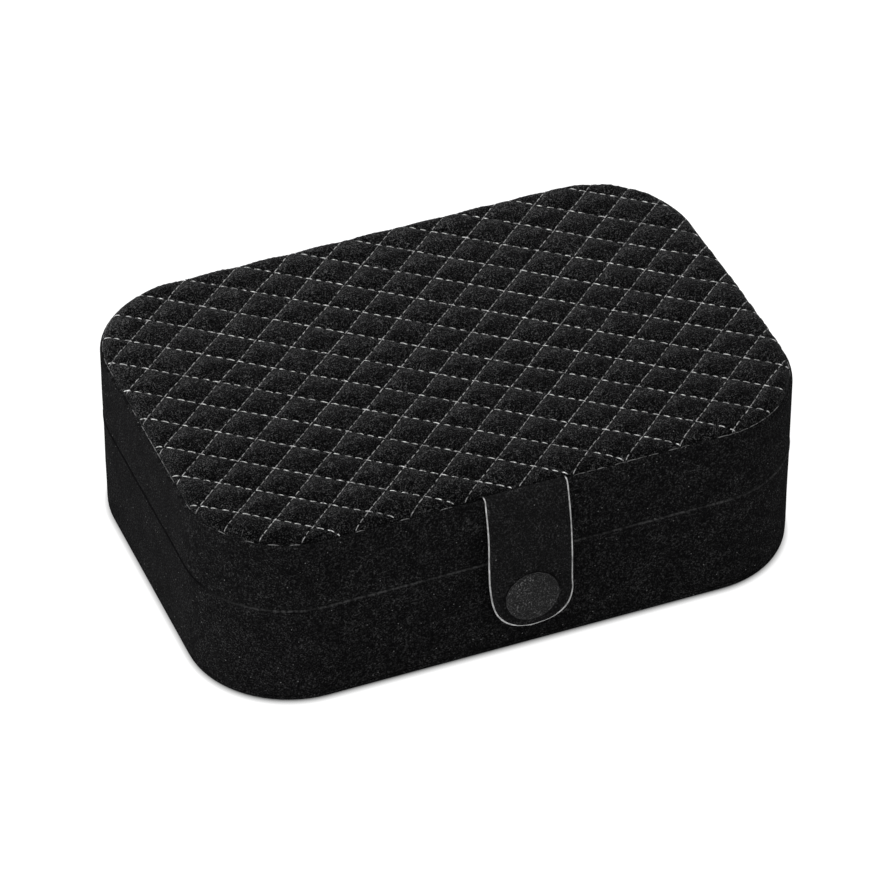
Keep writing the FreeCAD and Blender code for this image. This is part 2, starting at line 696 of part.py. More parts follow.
# Snap on the tab: cap outside with its shank through the plies, socket inside
turned("snap_cap", [
    ("0", "cap_front"), ("cap_diameter / 2", "cap_front"), ("cap_diameter / 2", "tab_outer"),
    ("cap_shank_diameter / 2", "tab_outer"), ("cap_shank_diameter / 2", "tab_inner"), ("0", "tab_inner")])
turned("cap_cover", [
    ("0", "cap_front - cap_velvet"), ("cover_radius - cap_edge", "cap_front - cap_velvet"),
    ("cover_radius", "cap_front - cap_velvet + cap_edge"), ("cover_radius", "tab_outer"),
    ("cap_diameter / 2", "tab_outer"), ("cap_diameter / 2", "cap_front"), ("0", "cap_front")])
turned("snap_socket", [
    ("socket_radius", "socket_mouth"), ("socket_diameter / 2", "socket_mouth"),
    ("socket_diameter / 2", "tab_inner"), ("0", "tab_inner"), ("0", "tab_inner + socket_back"),
    ("socket_radius", "tab_inner + socket_back")])

# Tests and files

doc.recompute()
for thing in doc.Objects:
    if "Invalid" in thing.State or "Error" in thing.State:
        raise ValueError(f"{thing.Label} did not build: {thing.State}")
for piece in sub_parts:
    if piece.Shape.isNull() or not piece.Shape.isValid() or not piece.Shape.Solids:
        raise ValueError(f"{piece.Label} has no sound shape")
os.makedirs("parts", exist_ok=True)
for piece in sub_parts:
    piece.Shape.exportStep(os.path.join("parts", f"{piece.Label}.step"))
    print(f"{piece.Label}: {len(piece.Shape.Solids)} solid, {piece.Shape.Volume:.1f} mm3")
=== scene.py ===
"""Velvet jewellery case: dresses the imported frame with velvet, quilting, thread and fittings."""

import json
import logging
import math
from dataclasses import dataclass, field
from enum import Enum
from typing import Any, Protocol, Sequence

import bmesh
import bpy
import numpy as np
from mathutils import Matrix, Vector

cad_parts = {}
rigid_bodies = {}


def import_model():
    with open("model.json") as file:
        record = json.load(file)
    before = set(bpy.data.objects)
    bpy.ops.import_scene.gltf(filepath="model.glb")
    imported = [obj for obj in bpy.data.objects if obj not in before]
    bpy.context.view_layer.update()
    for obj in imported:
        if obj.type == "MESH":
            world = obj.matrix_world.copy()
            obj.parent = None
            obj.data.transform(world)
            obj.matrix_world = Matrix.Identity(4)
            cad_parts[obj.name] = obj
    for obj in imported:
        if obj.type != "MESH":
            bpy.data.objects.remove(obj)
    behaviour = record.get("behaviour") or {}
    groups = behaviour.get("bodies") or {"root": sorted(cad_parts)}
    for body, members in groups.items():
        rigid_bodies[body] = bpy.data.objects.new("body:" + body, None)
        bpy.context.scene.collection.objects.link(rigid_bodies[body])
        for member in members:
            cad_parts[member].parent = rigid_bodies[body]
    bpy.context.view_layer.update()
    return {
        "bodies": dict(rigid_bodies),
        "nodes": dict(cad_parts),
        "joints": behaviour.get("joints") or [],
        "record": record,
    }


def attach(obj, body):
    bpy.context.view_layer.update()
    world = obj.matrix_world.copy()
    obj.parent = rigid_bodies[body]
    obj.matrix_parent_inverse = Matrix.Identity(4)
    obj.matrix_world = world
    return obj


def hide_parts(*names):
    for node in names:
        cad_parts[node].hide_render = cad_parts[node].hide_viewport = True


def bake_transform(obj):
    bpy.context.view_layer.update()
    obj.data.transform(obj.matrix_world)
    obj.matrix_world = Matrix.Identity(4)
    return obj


LOG = logging.getLogger("jewellery_case")
MM = 0.001
MERGE_DISTANCE = 1e-6

Colour = tuple[float, float, float]
Profile = Sequence[tuple[float, float]]
Shape = tuple[np.ndarray, list[list[int]]]
Span = tuple[float, float]
Ramp = tuple[float, float, float, float]


class Body(str, Enum):
    """The rigid bodies that pieces ride on."""

    BASE = "base"
    LID = "lid"
    TAB = "tab"


class Slot(str, Enum):
    """The record's material slots, listed with the pieces made here."""

    VELVET = "velvet"
    QUILT = "quilted_velvet"
    LINING = "lining_velvet"
    RINGS = "ring_velvet"
    CORE = "tab_core"
    HINGE = "hinge_steel"


class Family(Enum):
    """The two families of stitch lines, named by how they run in plan."""

    FALLING = "falling"
    RISING = "rising"


# Node graphs and finishes


def grey(level: float) -> Colour:
    """A neutral colour."""
    return (level, level, level)


class Graph:
    """A material's node graph round one principled shader."""

    COLOUR_INPUTS: tuple[int, int] = (6, 7)
    COLOUR_OUTPUT: int = 2

    def __init__(self, name: str) -> None:
        """Starts an empty graph.

        Args:
            name: The material's name.
        """
        self.material = bpy.data.materials.new(name)
        self.material.use_nodes = True
        self.nodes = self.material.node_tree.nodes
        self.links = self.material.node_tree.links
        self.shader = self.nodes["Principled BSDF"]
        places = self.nodes.new("ShaderNodeTexCoord").outputs
        self.place, self.facing = places["Object"], places["Normal"]

    def constants(self, **values: Any) -> None:
        """Sets the shader's own sockets; underscores stand for blanks."""
        for name, value in values.items():
            self.shader.inputs[name.replace("_", " ")].default_value = value

    def feed(self, socket: Any, value: Any) -> None:
        """Links an output, or sets a number or colour, on an input.

        Args:
            socket: The input.
            value: Another node's output, or a constant.
        """
        if isinstance(value, bpy.types.NodeSocket):
            self.links.new(value, socket)
        else:
            socket.default_value = value

    def stretched(self, scale: Sequence[float]) -> Any:
        """Scales the object's place along each axis.

        Args:
            scale: One factor per axis.

        Returns:
            The scaled place.
        """
        node = self.nodes.new("ShaderNodeMapping")
        self.links.new(self.place, node.inputs["Vector"])
        node.inputs["Scale"].default_value = scale
        return node.outputs["Vector"]

    def noise(self, scale: float, detail: float = 2.0, place: Any = None) -> Any:
        """Returns a noise value about 0.5.

        Args:
            scale: Features per metre.
            detail: Octaves.
            place: Coordinates, the object's own if left out.

        Returns:
            The noise node's value output.
        """
        node = self.nodes.new("ShaderNodeTexNoise")
        node.inputs["Scale"].default_value = scale
        node.inputs["Detail"].default_value = detail
        self.links.new(place or self.place, node.inputs["Vector"])
        return node.outputs["Fac"]

    def axis(self, name: str, vector: Any = None) -> Any:
        """Takes one axis of the object's place, or of another vector.

        Args:
            name: The axis's letter.
            vector: The vector, the object's place if left out.

        Returns:
            The value along that axis.
        """
        node = self.nodes.new("ShaderNodeSeparateXYZ")
        self.links.new(vector or self.place, node.inputs["Vector"])
        return node.outputs[name]

    def cells(self, scale: float) -> tuple[Any, Any]:
        """Scatters points over the object.

        Args:
            scale: Points per metre.

        Returns:
            The distance to the nearest point, and that point's own colour.
        """
        node = self.nodes.new("ShaderNodeTexVoronoi")
        node.inputs["Scale"].default_value = scale
        self.links.new(self.place, node.inputs["Vector"])
        return node.outputs["Distance"], node.outputs["Color"]

    def spread(self, value: Any, low: float, high: float, out_low: float = 0.0, out_high: float = 1.0) -> Any:
        """Maps a value from one range to another, clamped.

        Args:
            value: The value.
            low: Start of its range.
            high: End of its range.
            out_low: Result at the start.
            out_high: Result at the end.

        Returns:
            The mapped value.
        """
        node = self.nodes.new("ShaderNodeMapRange")
        self.feed(node.inputs["Value"], value)
        numbers = {"From Min": low, "From Max": high, "To Min": out_low, "To Max": out_high}
        for name, number in numbers.items():
            node.inputs[name].default_value = number
        return node.outputs["Result"]

    def combine(self, operation: str, first: Any, second: Any) -> Any:
        """Reckons with two values.

        Args:
            operation: The operation's name.
            first: First value.
            second: Second value.

        Returns:
            The result.
        """
        node = self.nodes.new("ShaderNodeMath")
        node.operation = operation
        self.feed(node.inputs[0], first)
        self.feed(node.inputs[1], second)
        return node.outputs["Value"]

    def blend(self, factor: Any, first: Any, second: Any) -> Any:
        """Mixes two colours.

        Args:
            factor: Share of the second colour.
            first: First colour.
            second: Second colour.

        Returns:
            The mixed colour.
        """
        node = self.nodes.new("ShaderNodeMix")
        node.data_type = "RGBA"
        self.feed(node.inputs["Factor"], factor)
        for index, value in zip(self.COLOUR_INPUTS, (first, second)):
            self.feed(node.inputs[index], (*value, 1.0) if isinstance(value, tuple) else value)
        return node.outputs[self.COLOUR_OUTPUT]

    def product(self, first: Any, second: Any) -> Any:
        """Multiplies two values."""
        return self.combine("MULTIPLY", first, second)

    def coat(self, colour: Any, roughness: Any) -> None:
        """Feeds the shader's colour and roughness."""
        self.feed(self.shader.inputs["Base Color"], colour)
        self.feed(self.shader.inputs["Roughness"], roughness)

    def bump(self, height: Any, strength: float, distance: float) -> None:
        """Raises the surface by a height value.

        Args:
            height: The height output.
            strength: Share of the effect.
            distance: Height of a value of 1, in metres.
        """
        node = self.nodes.new("ShaderNodeBump")
        node.inputs["Strength"].default_value = strength
        node.inputs["Distance"].default_value = distance
        self.links.new(height, node.inputs["Height"])
        self.links.new(node.outputs["Normal"], self.shader.inputs["Normal"])


class Finish(Protocol):
    """Anything that can make its material."""

    def material(self) -> bpy.types.Material:
        """Makes the material."""


@dataclass(frozen=True)
class Velvet:
    """Black cut-pile velvet with brushed patches and a little lint.

    Patch, tuft, pile and lint_cells are features per metre, and a ramp is a noise's range and what it is
    mapped to. The rim line's height marks where the velvet turns over an edge; along it the colour carries a
    painted highlight on the front and painted shade on the left side. The back light and the lean paint light
    into the colour: lighter towards the back, and on slopes that face the back.
    """

    name: str
    deep: Colour = (0.0034, 0.0034, 0.0036)
    nap: Colour = (0.07, 0.07, 0.071)
    sheen: float = 0.012
    sheen_roughness: float = 0.4
    sheen_tint: Colour = (0.92, 0.93, 0.95)
    grain: Span = (0.36, 0.68)
    contrast: float = 2.2
    # Painted light: the colour grows lighter towards the back of the case, and on slopes that face the back.
    painted_back_light: float = 0.0
    painted_back_light_span: Span = (-50 * MM, 50 * MM)
    lean: float = 0.0
    painted_slope_light_span: Span = (-0.15, 0.2)
    lint: float = 0.85
    lint_cells: float = 420.0
    lint_size: Span = (0.075, 0.04)
    lint_share: float = 0.5
    lint_colour: Colour = grey(0.4)
    patch: float = 230.0
    patch_ramp: Ramp = (0.32, 0.68, 0.45, 1.0)
    tuft: float = 1250.0
    tuft_ramp: Ramp = (0.38, 0.64, 0.25, 1.0)
    tuft_height: float = 0.8
    pile: float = 2700.0
    pile_height: float = 0.5 * MM
    # Height of the rim line that takes a painted highlight on the front and painted shade on the left side.
    painted_rim_light_height: float | None = None
    painted_rim_highlight: Colour = (0.055, 0.055, 0.0555)
    painted_rim_light_edge: Span = (0.12 * MM, 0.4 * MM)
    painted_shade_to_highlight: Span = (-79 * MM, -66 * MM)
    painted_rim_light_patches: Ramp = (0.38, 0.6, 0.3, 1.0)
    painted_rim_light_tufts: Ramp = (0.35, 0.6, 0.2, 1.0)
    painted_left_shade: float = 0.9

    def material(self) -> bpy.types.Material:
        """Makes the material.

        Returns:
            The finished material.
        """
        g = Graph(self.name)
        brushed = g.noise(self.patch, 3.0)
        tufts = g.noise(self.tuft, 2.0)
        fibres = g.noise(self.pile, 3.0)
        colour = self._pile_colour(g, brushed, tufts, fibres)
        # Painted highlight along the rim line on the front, and painted shade on the left side.
        if self.painted_rim_light_height is not None:
            colour = self._painted_rim_light(g, colour, brushed, tufts)
        g.coat(self._linted(g, colour), g.spread(fibres, 0.3, 0.7, 0.85, 1.0))
        g.constants(Specular_IOR_Level=0.0, Sheen_Weight=self.sheen, Sheen_Roughness=self.sheen_roughness,
                    Sheen_Tint=(*self.sheen_tint, 1.0))
        g.bump(g.combine("ADD", fibres, g.product(tufts, self.tuft_height)), 0.7, self.pile_height)
        return g.material

    def _pile_colour(self, g: Graph, brushed: Any, tufts: Any, fibres: Any) -> Any:
        """Colours the pile by how it lies. Where asked, it also paints light into the colour: lighter towards
        the back, and on slopes that face the back.

        Args:
            g: The material's graph.
            brushed: Noise of the brushed patches.
            tufts: Noise of the tufts.
            fibres: Noise of the fibres.

        Returns:
            The colour.
        """
        grain = g.combine("POWER", g.spread(fibres, *self.grain), self.contrast)
        pile_lie_and_painted_light = g.product(g.spread(brushed, *self.patch_ramp), g.spread(tufts, *self.tuft_ramp))
        # Painted light: lighter towards the back, and on slopes whose normals face the back.
        if self.painted_back_light:
            rise = g.spread(g.axis("Y"), *self.painted_back_light_span, 1 - self.painted_back_light, 1 + self.painted_back_light)
            painted_slope_light = g.spread(g.axis("Y", g.facing), *self.painted_slope_light_span, 1.0, 1 + self.lean)
            pile_lie_and_painted_light = g.product(pile_lie_and_painted_light, g.product(rise, painted_slope_light))
        return g.blend(g.product(grain, pile_lie_and_painted_light), self.deep, self.nap)

    def _painted_rim_light(self, g: Graph, colour: Any, brushed: Any, tufts: Any) -> Any:
        """Paints light onto the line where the velvet turns over an edge: a painted highlight along the front
        and painted shade on the left side.

        Args:
            g: The material's graph.
            colour: The colour so far.
            brushed: Noise of the brushed patches.
            tufts: Noise of the tufts.

        Returns:
            The colour with the painted highlight and shade on that line.
        """
        off = g.combine("ABSOLUTE", g.combine("SUBTRACT", g.axis("Z"), self.painted_rim_light_height), 0.0)
        near = g.spread(off, *self.painted_rim_light_edge, 1.0, 0.0)
        uneven = g.product(g.spread(tufts, *self.painted_rim_light_tufts), g.spread(brushed, *self.painted_rim_light_patches))
        # The front takes a lighter colour as painted highlight, and the left side the deep colour as painted
        # shade.
        nap = g.blend(g.spread(g.axis("X"), *self.painted_shade_to_highlight), self.deep, self.painted_rim_highlight)
        painted_left_shade_share = g.spread(g.axis("X"), *self.painted_shade_to_highlight, self.painted_left_shade, 0.0)
        return g.blend(g.product(near, g.combine("MAXIMUM", uneven, painted_left_shade_share)), colour, nap)

    def _linted(self, g: Graph, colour: Any) -> Any:
        """Scatters specks of lint.

        Args:
            g: The material's graph.
            colour: The colour so far.

        Returns:
            The colour with its lint.
        """
        distance, tint = g.cells(self.lint_cells)
        chosen = g.spread(tint, 1.0 - self.lint, 1.02 - self.lint)
        speck = g.product(g.spread(distance, *self.lint_size), chosen)
        return g.blend(g.product(speck, self.lint_share), colour, self.lint_colour)


@dataclass(frozen=True)
class Thread:
    """Twisted sewing thread, with random tone and painted highlights on its twist."""

    name: str
    dark: Colour
    light: Colour

    def material(self) -> bpy.types.Material:
        """Makes the material.

        Returns:
            The finished material.
        """
        g = Graph(self.name)
        # Random tone of the thread, mixed with painted highlights: bright spots that stand for light catching
        # the twist.
        tone_and_painted_glints = g.spread(g.noise(1300.0, 3.0), 0.38, 0.66)
        twist = g.noise(5200.0, 1.0)
        g.coat(g.blend(tone_and_painted_glints, self.dark, self.light), g.spread(twist, 0.3, 0.7, 0.5, 0.75))
        g.constants(Sheen_Weight=0.2)
        g.bump(twist, 0.4, 0.08 * MM)
        return g.material


@dataclass(frozen=True)
class CutEdge:
    """The pale backing that shows at the tab's cut edge."""

    name: str
    stained: Colour = grey(0.28)
    clean: Colour = grey(0.68)

    def material(self) -> bpy.types.Material:
        """Makes the material.

        Returns:
            The finished material.
        """
        g = Graph(self.name)
        stain = g.spread(g.noise(700.0, 3.0), 0.3, 0.7)
        fibres = g.noise(4200.0, 2.0)
        g.coat(g.blend(stain, self.stained, self.clean), g.spread(fibres, 0.3, 0.7, 0.7, 0.95))
        g.bump(fibres, 0.3, 0.1 * MM)
        return g.material


@dataclass(frozen=True)
class Nickel:
    """Nickel-plated steel, lightly brushed along the case's length."""

    name: str
    colour: Colour = (0.62, 0.6, 0.57)
    roughness: float = 0.28

    def material(self) -> bpy.types.Material:
        """Makes the material.

        Returns:
            The finished material.
        """
        g = Graph(self.name)
        brushed = g.noise(900.0, 3.0, g.stretched((0.12, 3.0, 3.0)))
        handled = g.spread(g.noise(160.0, 2.0), 0.35, 0.7)
        dull = tuple(0.72 * channel for channel in self.colour)
        g.coat(g.blend(handled, self.colour, dull),
               g.spread(brushed, 0.3, 0.7, self.roughness - 0.08, self.roughness + 0.12))
        g.constants(Metallic=1.0)
        g.bump(brushed, 0.12, 0.03 * MM)
        return g.material


@dataclass(frozen=True)
class Silvering:
    """The mirror's silvered glass, with faint dust."""

    name: str
    silver: Colour = (0.9, 0.91, 0.91)
    dust: Colour = grey(0.7)

    def material(self) -> bpy.types.Material:
        """Makes the material.

        Returns:
            The finished material.
        """
        g = Graph(self.name)
        dust = g.spread(g.noise(2400.0, 4.0), 0.62, 0.8)
        g.coat(g.blend(dust, self.silver, self.dust), g.spread(dust, 0.0, 1.0, 0.015, 0.12))
        g.constants(Metallic=1.0)
        return g.material


@dataclass(frozen=True)
class GreyBoard:
    """Pressed grey board with flecks."""

    name: str
    dark: Colour = (0.2, 0.18, 0.155)
    light: Colour = (0.36, 0.33, 0.29)

    def material(self) -> bpy.types.Material:
        """Makes the material.

        Returns:
            The finished material.
        """
        g = Graph(self.name)
        fleck = g.noise(1500.0, 4.0)
        colour = g.blend(g.spread(fleck, 0.35, 0.7), self.dark, self.light)
        g.coat(colour, g.spread(fleck, 0.3, 0.7, 0.8, 0.95))
        g.bump(fleck, 0.25, 0.1 * MM)
        return g.material


def made(finish: Finish) -> Any:
    """A wardrobe's entry, whose material is made with the wardrobe."""
    return field(default_factory=finish.material)


@dataclass
class Wardrobe:
    """All finishes, made once and handed to the pieces."""

    band: bpy.types.Material = made(Velvet("band_velvet"))
    # The base band's velvet has a painted highlight along the rim line on the front, and painted shade on the
    # left side.
    base_band: bpy.types.Material = made(Velvet("base_velvet_painted_rim_light", painted_rim_light_height=29.68 * MM))
    # The quilt's velvet has painted light: lighter towards the back, and on slopes that face the back.
    quilt: bpy.types.Material = made(Velvet(
        "quilt_velvet_painted_light", deep=(0.0008, 0.0008, 0.0009), nap=(0.088, 0.088, 0.089), sheen=0.055, lint=0.3,
        grain=(0.435, 0.615), pile=3100.0, painted_back_light=0.16, lean=0.8))
    tab: bpy.types.Material = made(Velvet(
        "tab_velvet", deep=(0.0064, 0.0064, 0.0066), nap=(0.066, 0.066, 0.067)))
    button: bpy.types.Material = made(Velvet(
        "button_velvet", deep=(0.016, 0.016, 0.0162), nap=(0.15, 0.15, 0.151), sheen=0.05, grain=(0.4, 0.64)))
    lining: bpy.types.Material = made(Velvet("lining_velvet", nap=(0.04, 0.04, 0.041), sheen=0.12, lint=0.3))
    # The same thread as a painted lit copy for the falling stitches and a painted shaded copy for the rising
    # stitches.
    painted_lit_thread: bpy.types.Material = made(Thread("painted_lit_thread", grey(0.12), grey(1.0)))
    painted_shaded_thread: bpy.types.Material = made(Thread("painted_shaded_thread", grey(0.07), grey(0.5)))
    hem_thread: bpy.types.Material = made(Thread("hem_thread", grey(0.008), grey(0.15)))
    cut_edge: bpy.types.Material = made(CutEdge("cut_edge"))
    snap: bpy.types.Material = made(Nickel("snap_nickel"))
    hinge: bpy.types.Material = made(Nickel("hinge_nickel", roughness=0.34))
    mirror: bpy.types.Material = made(Silvering("mirror_silvering"))
    board: bpy.types.Material = made(GreyBoard("grey_board"))


# Mesh making


def new_piece(name: str, verts: np.ndarray, faces: Sequence[Sequence[int]], finish: bpy.types.Material,
              closed: bool = True) -> bpy.types.Object:
    """Makes a smooth-shaded object from points and faces.

    Args:
        name: The piece's name.
        verts: Points in metres, in the case's frame.
        faces: Corner numbers of each face.
        finish: The piece's material.
        closed: Whether doubled points are merged and normals turned outward.

    Returns:
        The new object, linked to the scene.
    """
    mesh = bpy.data.meshes.new(name)
    mesh.from_pydata(np.asarray(verts).tolist(), [], [list(face) for face in faces])
    if closed:
        work = bmesh.new()
        work.from_mesh(mesh)
        bmesh.ops.remove_doubles(work, verts=work.verts, dist=MERGE_DISTANCE)
        bmesh.ops.recalc_face_normals(work, faces=work.faces)
        work.to_mesh(mesh)
        work.free()
    mesh.materials.append(finish)
    mesh.polygons.foreach_set("use_smooth", [True] * len(mesh.polygons))
    mesh.update()
    piece = bpy.data.objects.new(name, mesh)
    bpy.context.scene.collection.objects.link(piece)
    return piece


def settle(piece: bpy.types.Object, body: Body, slot: Slot, *nodes: str) -> bpy.types.Object:
    """Rides a piece on its body and hides the nodes that it stands for.

    Args:
        piece: The finished piece.
        body: The body it moves with.
        slot: The record's material slot; not used.
        nodes: The solids that it replaces.

    Returns:
        The same piece.
    """
    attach(piece, body.value)
    if nodes:
        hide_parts(*nodes)
    LOG.info("%s rides on %s", piece.name, body.value)
    return piece


def give(nodes: dict[str, bpy.types.Object], finish: bpy.types.Material, *names: str) -> None:
    """Assigns a finish to carried-over solids.

    Args:
        nodes: The frame's solids by name.
        finish: The material.
        names: The solids that get it.
    """
    for name in names:
        mesh = nodes[name].data
        mesh.materials.clear()
        mesh.materials.append(finish)
        LOG.info("%s keeps its solid", name)


def loft(rows: np.ndarray, loop: bool, caps: bool = False) -> Shape:
    """Joins closed rings of equal count.

    Args:
        rows: Points as rings by columns by three.
        loop: Whether the last ring joins the first again.
        caps: Whether the first and last ring are filled.

    Returns:
        Points and faces.
    """
    count, columns = rows.shape[:2]
    ring = np.arange(columns)
    after = (ring + 1) % columns
    faces: list[list[int]] = []
    for row in range(count if loop else count - 1):
        low, high = row * columns, ((row + 1) % count) * columns
        faces += np.stack([low + ring, low + after, high + after, high + ring], axis=1).tolist()
    if caps:
        faces.append(ring[::-1].tolist())
        faces.append((ring + (count - 1) * columns).tolist())
    return rows.reshape(-1, 3), faces


def joined(shapes: Sequence[Shape]) -> Shape:
    """Puts separate shapes into one.

    Args:
        shapes: Points and faces of each.

    Returns:
        All points, and the faces with their corners renumbered.
    """
    points, faces, count = [], [], 0
    for verts, corners in shapes:
        points.append(verts)
        faces += [[corner + count for corner in face] for face in corners]
        count += len(verts)
    return np.concatenate(points), faces


def dome(middle: tuple[float, float, float], section: Profile, sides: int) -> np.ndarray:
    """Rings of a round piece that looks forward.

    Args:
        middle: Middle of its seat.
        section: Pairs of radius and height above the seat.
        sides: Points on each ring.

    Returns:
        Points as rings by columns by three.
    """
    x, y, z = middle
    turns = np.linspace(0, 2 * math.pi, sides, endpoint=False)
    cos, sin = np.cos(turns), np.sin(turns)
    return np.array([np.stack([x + radius * cos, np.full_like(turns, y - height), z + radius * sin], axis=1)
                     for radius, height in section])


def at_height(plan: np.ndarray, height: float) -> np.ndarray:
    """Lifts points in plan to a height."""
    return np.column_stack([plan, np.full(len(plan), height)])


def travel(line: np.ndarray) -> np.ndarray:
    """The distance along a line of points from its first point."""
    return np.concatenate([[0], np.cumsum(np.linalg.norm(np.diff(line, axis=0), axis=1))])


def points_of(piece: bpy.types.Object) -> np.ndarray:
    """A piece's points, one per row."""
    return np.array([point.co for point in piece.data.vertices])


def waver(points: np.ndarray, wave: float, seed: float) -> np.ndarray:
    """A smooth wavering value between about -1 and 1 for each point.

    Args:
        points: Points in metres.
        wave: Length of the longest wave in metres.
        seed: Shifts the pattern.

    Returns:
        One value per point.
    """
    k = 2 * math.pi / wave
    x, y = points[..., 0] * k, points[..., 1] * k
    z = points[..., 2] * k if points.shape[-1] > 2 else 0.0
    first = np.sin(x + 1.3 * y + 0.7 * z + seed) * np.cos(0.8 * y - 0.5 * x + 1.1 * z + 2.0 * seed)
    second = np.sin(1.9 * x - 1.6 * y + 1.4 * z + 3.1 * seed) * np.cos(2.3 * y + 0.9 * x + 0.4 * seed)
    return 0.65 * first + 0.35 * second


@dataclass(frozen=True)
class RoundedOutline:
    """A rectangle with round corners, drawn as a core rectangle pushed outward."""

    length: float = 160 * MM
    depth: float = 110 * MM
    corner: float = 27 * MM

    def core(self) -> np.ndarray:
        """Half the core rectangle's length and depth."""
        return np.array([self.length / 2 - self.corner, self.depth / 2 - self.corner])

    def core_corners(self) -> np.ndarray:
        """The core's corners, counter-clockwise from the right front."""
        return self.core() * np.array([(1, -1), (1, 1), (-1, 1), (-1, -1)])

    def columns(self, step: float, arc_steps: int = 18,
                notches: Sequence[tuple[float, float]] = ()) -> tuple[np.ndarray, np.ndarray, np.ndarray]:
        """Places columns round the outline, counter-clockwise from the right front.

        Args:
            step: Spacing along the straight sides.
            arc_steps: Steps on each corner.
            notches: Stretches of the back, as low and high x, marked as notched.

        Returns:
            Core points, outward normals, and whether each column is in a notch.
        """
        cores: list[tuple[float, float]] = []
        angles: list[float] = []
        marks: list[bool] = []
        ends = self.core_corners()
        for side in range(4):
            start, end = ends[side], ends[(side + 1) % 4]
            count = max(2, math.ceil(np.linalg.norm(end - start) / step))
            stations = [(share, False) for share in np.linspace(0, 1, count + 1)]
            if side == 1:
                stations = self._with_notches(stations, start[0], end[0], notches)
            for share, mark in stations:
                cores.append(tuple(start + (end - start) * share))
                angles.append(side * math.pi / 2)
                marks.append(mark)
            for turn in range(1, arc_steps):
                cores.append(tuple(end))
                angles.append((side + turn / arc_steps) * math.pi / 2)
                marks.append(False)
        normals = np.stack([np.cos(angles), np.sin(angles)], axis=1)
        return np.array(cores), normals, np.array(marks)

    @staticmethod
    def _with_notches(stations: list[tuple[float, bool]], first: float, last: float,
                      notches: Sequence[tuple[float, float]]) -> list[tuple[float, bool]]:
        """Marks the stations in the notches and doubles those at their ends.

        Args:
            stations: Shares of the side's length, with their marks.
            first: The side's first x.
            last: Its last x.
            notches: Low and high x of each notch.

        Returns:
            The stations in order, with their marks.
        """
        spans = [sorted((x - first) / (last - first) for x in notch) for notch in notches]
        kept = [(s, any(low < s < high for low, high in spans)) for s, _ in stations
                if not any(min(abs(s - low), abs(s - high)) < 1e-4 for low, high in spans)]
        for low, high in spans:
            kept += [(low, False), (low + 1e-9, True), (high - 1e-9, True), (high, False)]
        return sorted(kept)

    def ring(self, columns: tuple[np.ndarray, np.ndarray, np.ndarray], inset: Any, height: Any
             ) -> np.ndarray:
        """One ring of points round the outline.

        Args:
            columns: The columns to place them on.
            inset: How far inside the outline, one number or one per column.
            height: How high, one number or one per column.

        Returns:
            The points.
        """
        cores, normals, _ = columns
        reach = np.broadcast_to(self.corner - np.asarray(inset, float), len(cores))[:, None]
        level = np.broadcast_to(np.asarray(height, float), len(cores))[:, None]
        return np.concatenate([cores + normals * reach, level], axis=1)

    def points(self, side_steps: int = 20, arc_steps: int = 14) -> np.ndarray:
        """The outline's points in plan, as many for any size of outline.

        Args:
            side_steps: Steps on each straight side.
            arc_steps: Steps on each corner.

        Returns:
            The points, counter-clockwise from the right front.
        """
        ends = self.core_corners()
        points = []
        for side in range(4):
            start, end = ends[side], ends[(side + 1) % 4]
            turn = side * math.pi / 2
            outward = np.array([math.cos(turn), math.sin(turn)])
            points += [start + (end - start) * share + outward * self.corner
                       for share in np.linspace(0, 1, side_steps + 1)]
            points += [end + self.corner * np.array([math.cos(turn + a), math.sin(turn + a)])
                       for a in np.linspace(0, math.pi / 2, arc_steps + 1)[1:-1]]
        return np.array(points)

    def depth_inside(self, points: np.ndarray) -> np.ndarray:
        """How far each point in plan lies inside the outline.

        Args:
            points: The points; a height is ignored.

        Returns:
            One depth per point, below zero outside.
        """
        past_core = np.abs(points[:, :2]) - self.core()
        outside = np.linalg.norm(np.maximum(past_core, 0), axis=1)
        return self.corner - outside - np.minimum(past_core.max(axis=1), 0)

    def drawn_to(self, points: np.ndarray, depth: float) -> tuple[np.ndarray, np.ndarray]:
        """Moves points in plan to a depth inside the outline.

        Args:
            points: The points; a height is ignored.
            depth: The depth.

        Returns:
            The moved points, and the outward normals there.
        """
        half = self.core()
        core = np.clip(points[:, :2], -half, half)
        away = points[:, :2] - core
        flat = np.linalg.norm(away, axis=1) < 1e-9
        away[flat] = np.sign(points[flat, :2]) * (np.abs(points[flat, :2]) >= half - 1e-9)
        normals = away / np.maximum(np.linalg.norm(away, axis=1, keepdims=True), 1e-12)
        return core + normals * (self.corner - depth), normals


# Sizes that several pieces share


@dataclass(frozen=True)
class CaseSizes:
    """The case's main sizes, as in the solids."""

    outline: RoundedOutline = RoundedOutline()
    parting: float = 30 * MM
    velvet: float = 0.8 * MM
    room: float = 4.2 * MM
    hinge_x: float = 32 * MM
    hinge_half: float = 12.1 * MM
    seat: float = 1.7 * MM
    leaf_seat: float = 9.2 * MM
    ease: float = 0.8 * MM
    ease_reach: float = 1.4 * MM

    def hinge_ease(self, height: float) -> float:
        """How far the back's velvet is drawn in at a height so that the open halves clear each other."""
        return self.ease * max(0.0, 1 - abs(height - self.parting) / self.ease_reach) ** 1.2

    def hinge_notches(self) -> list[tuple[float, float]]:
        """The stretches of the back that the hinges take up."""
        return [(middle - self.hinge_half, middle + self.hinge_half)
                for middle in (-self.hinge_x, self.hinge_x)]


CASE = CaseSizes()
BAND_STEP = 2.4 * MM
BAND_WAVE = 34 * MM
BAND_SOFTNESS = 0.07 * MM


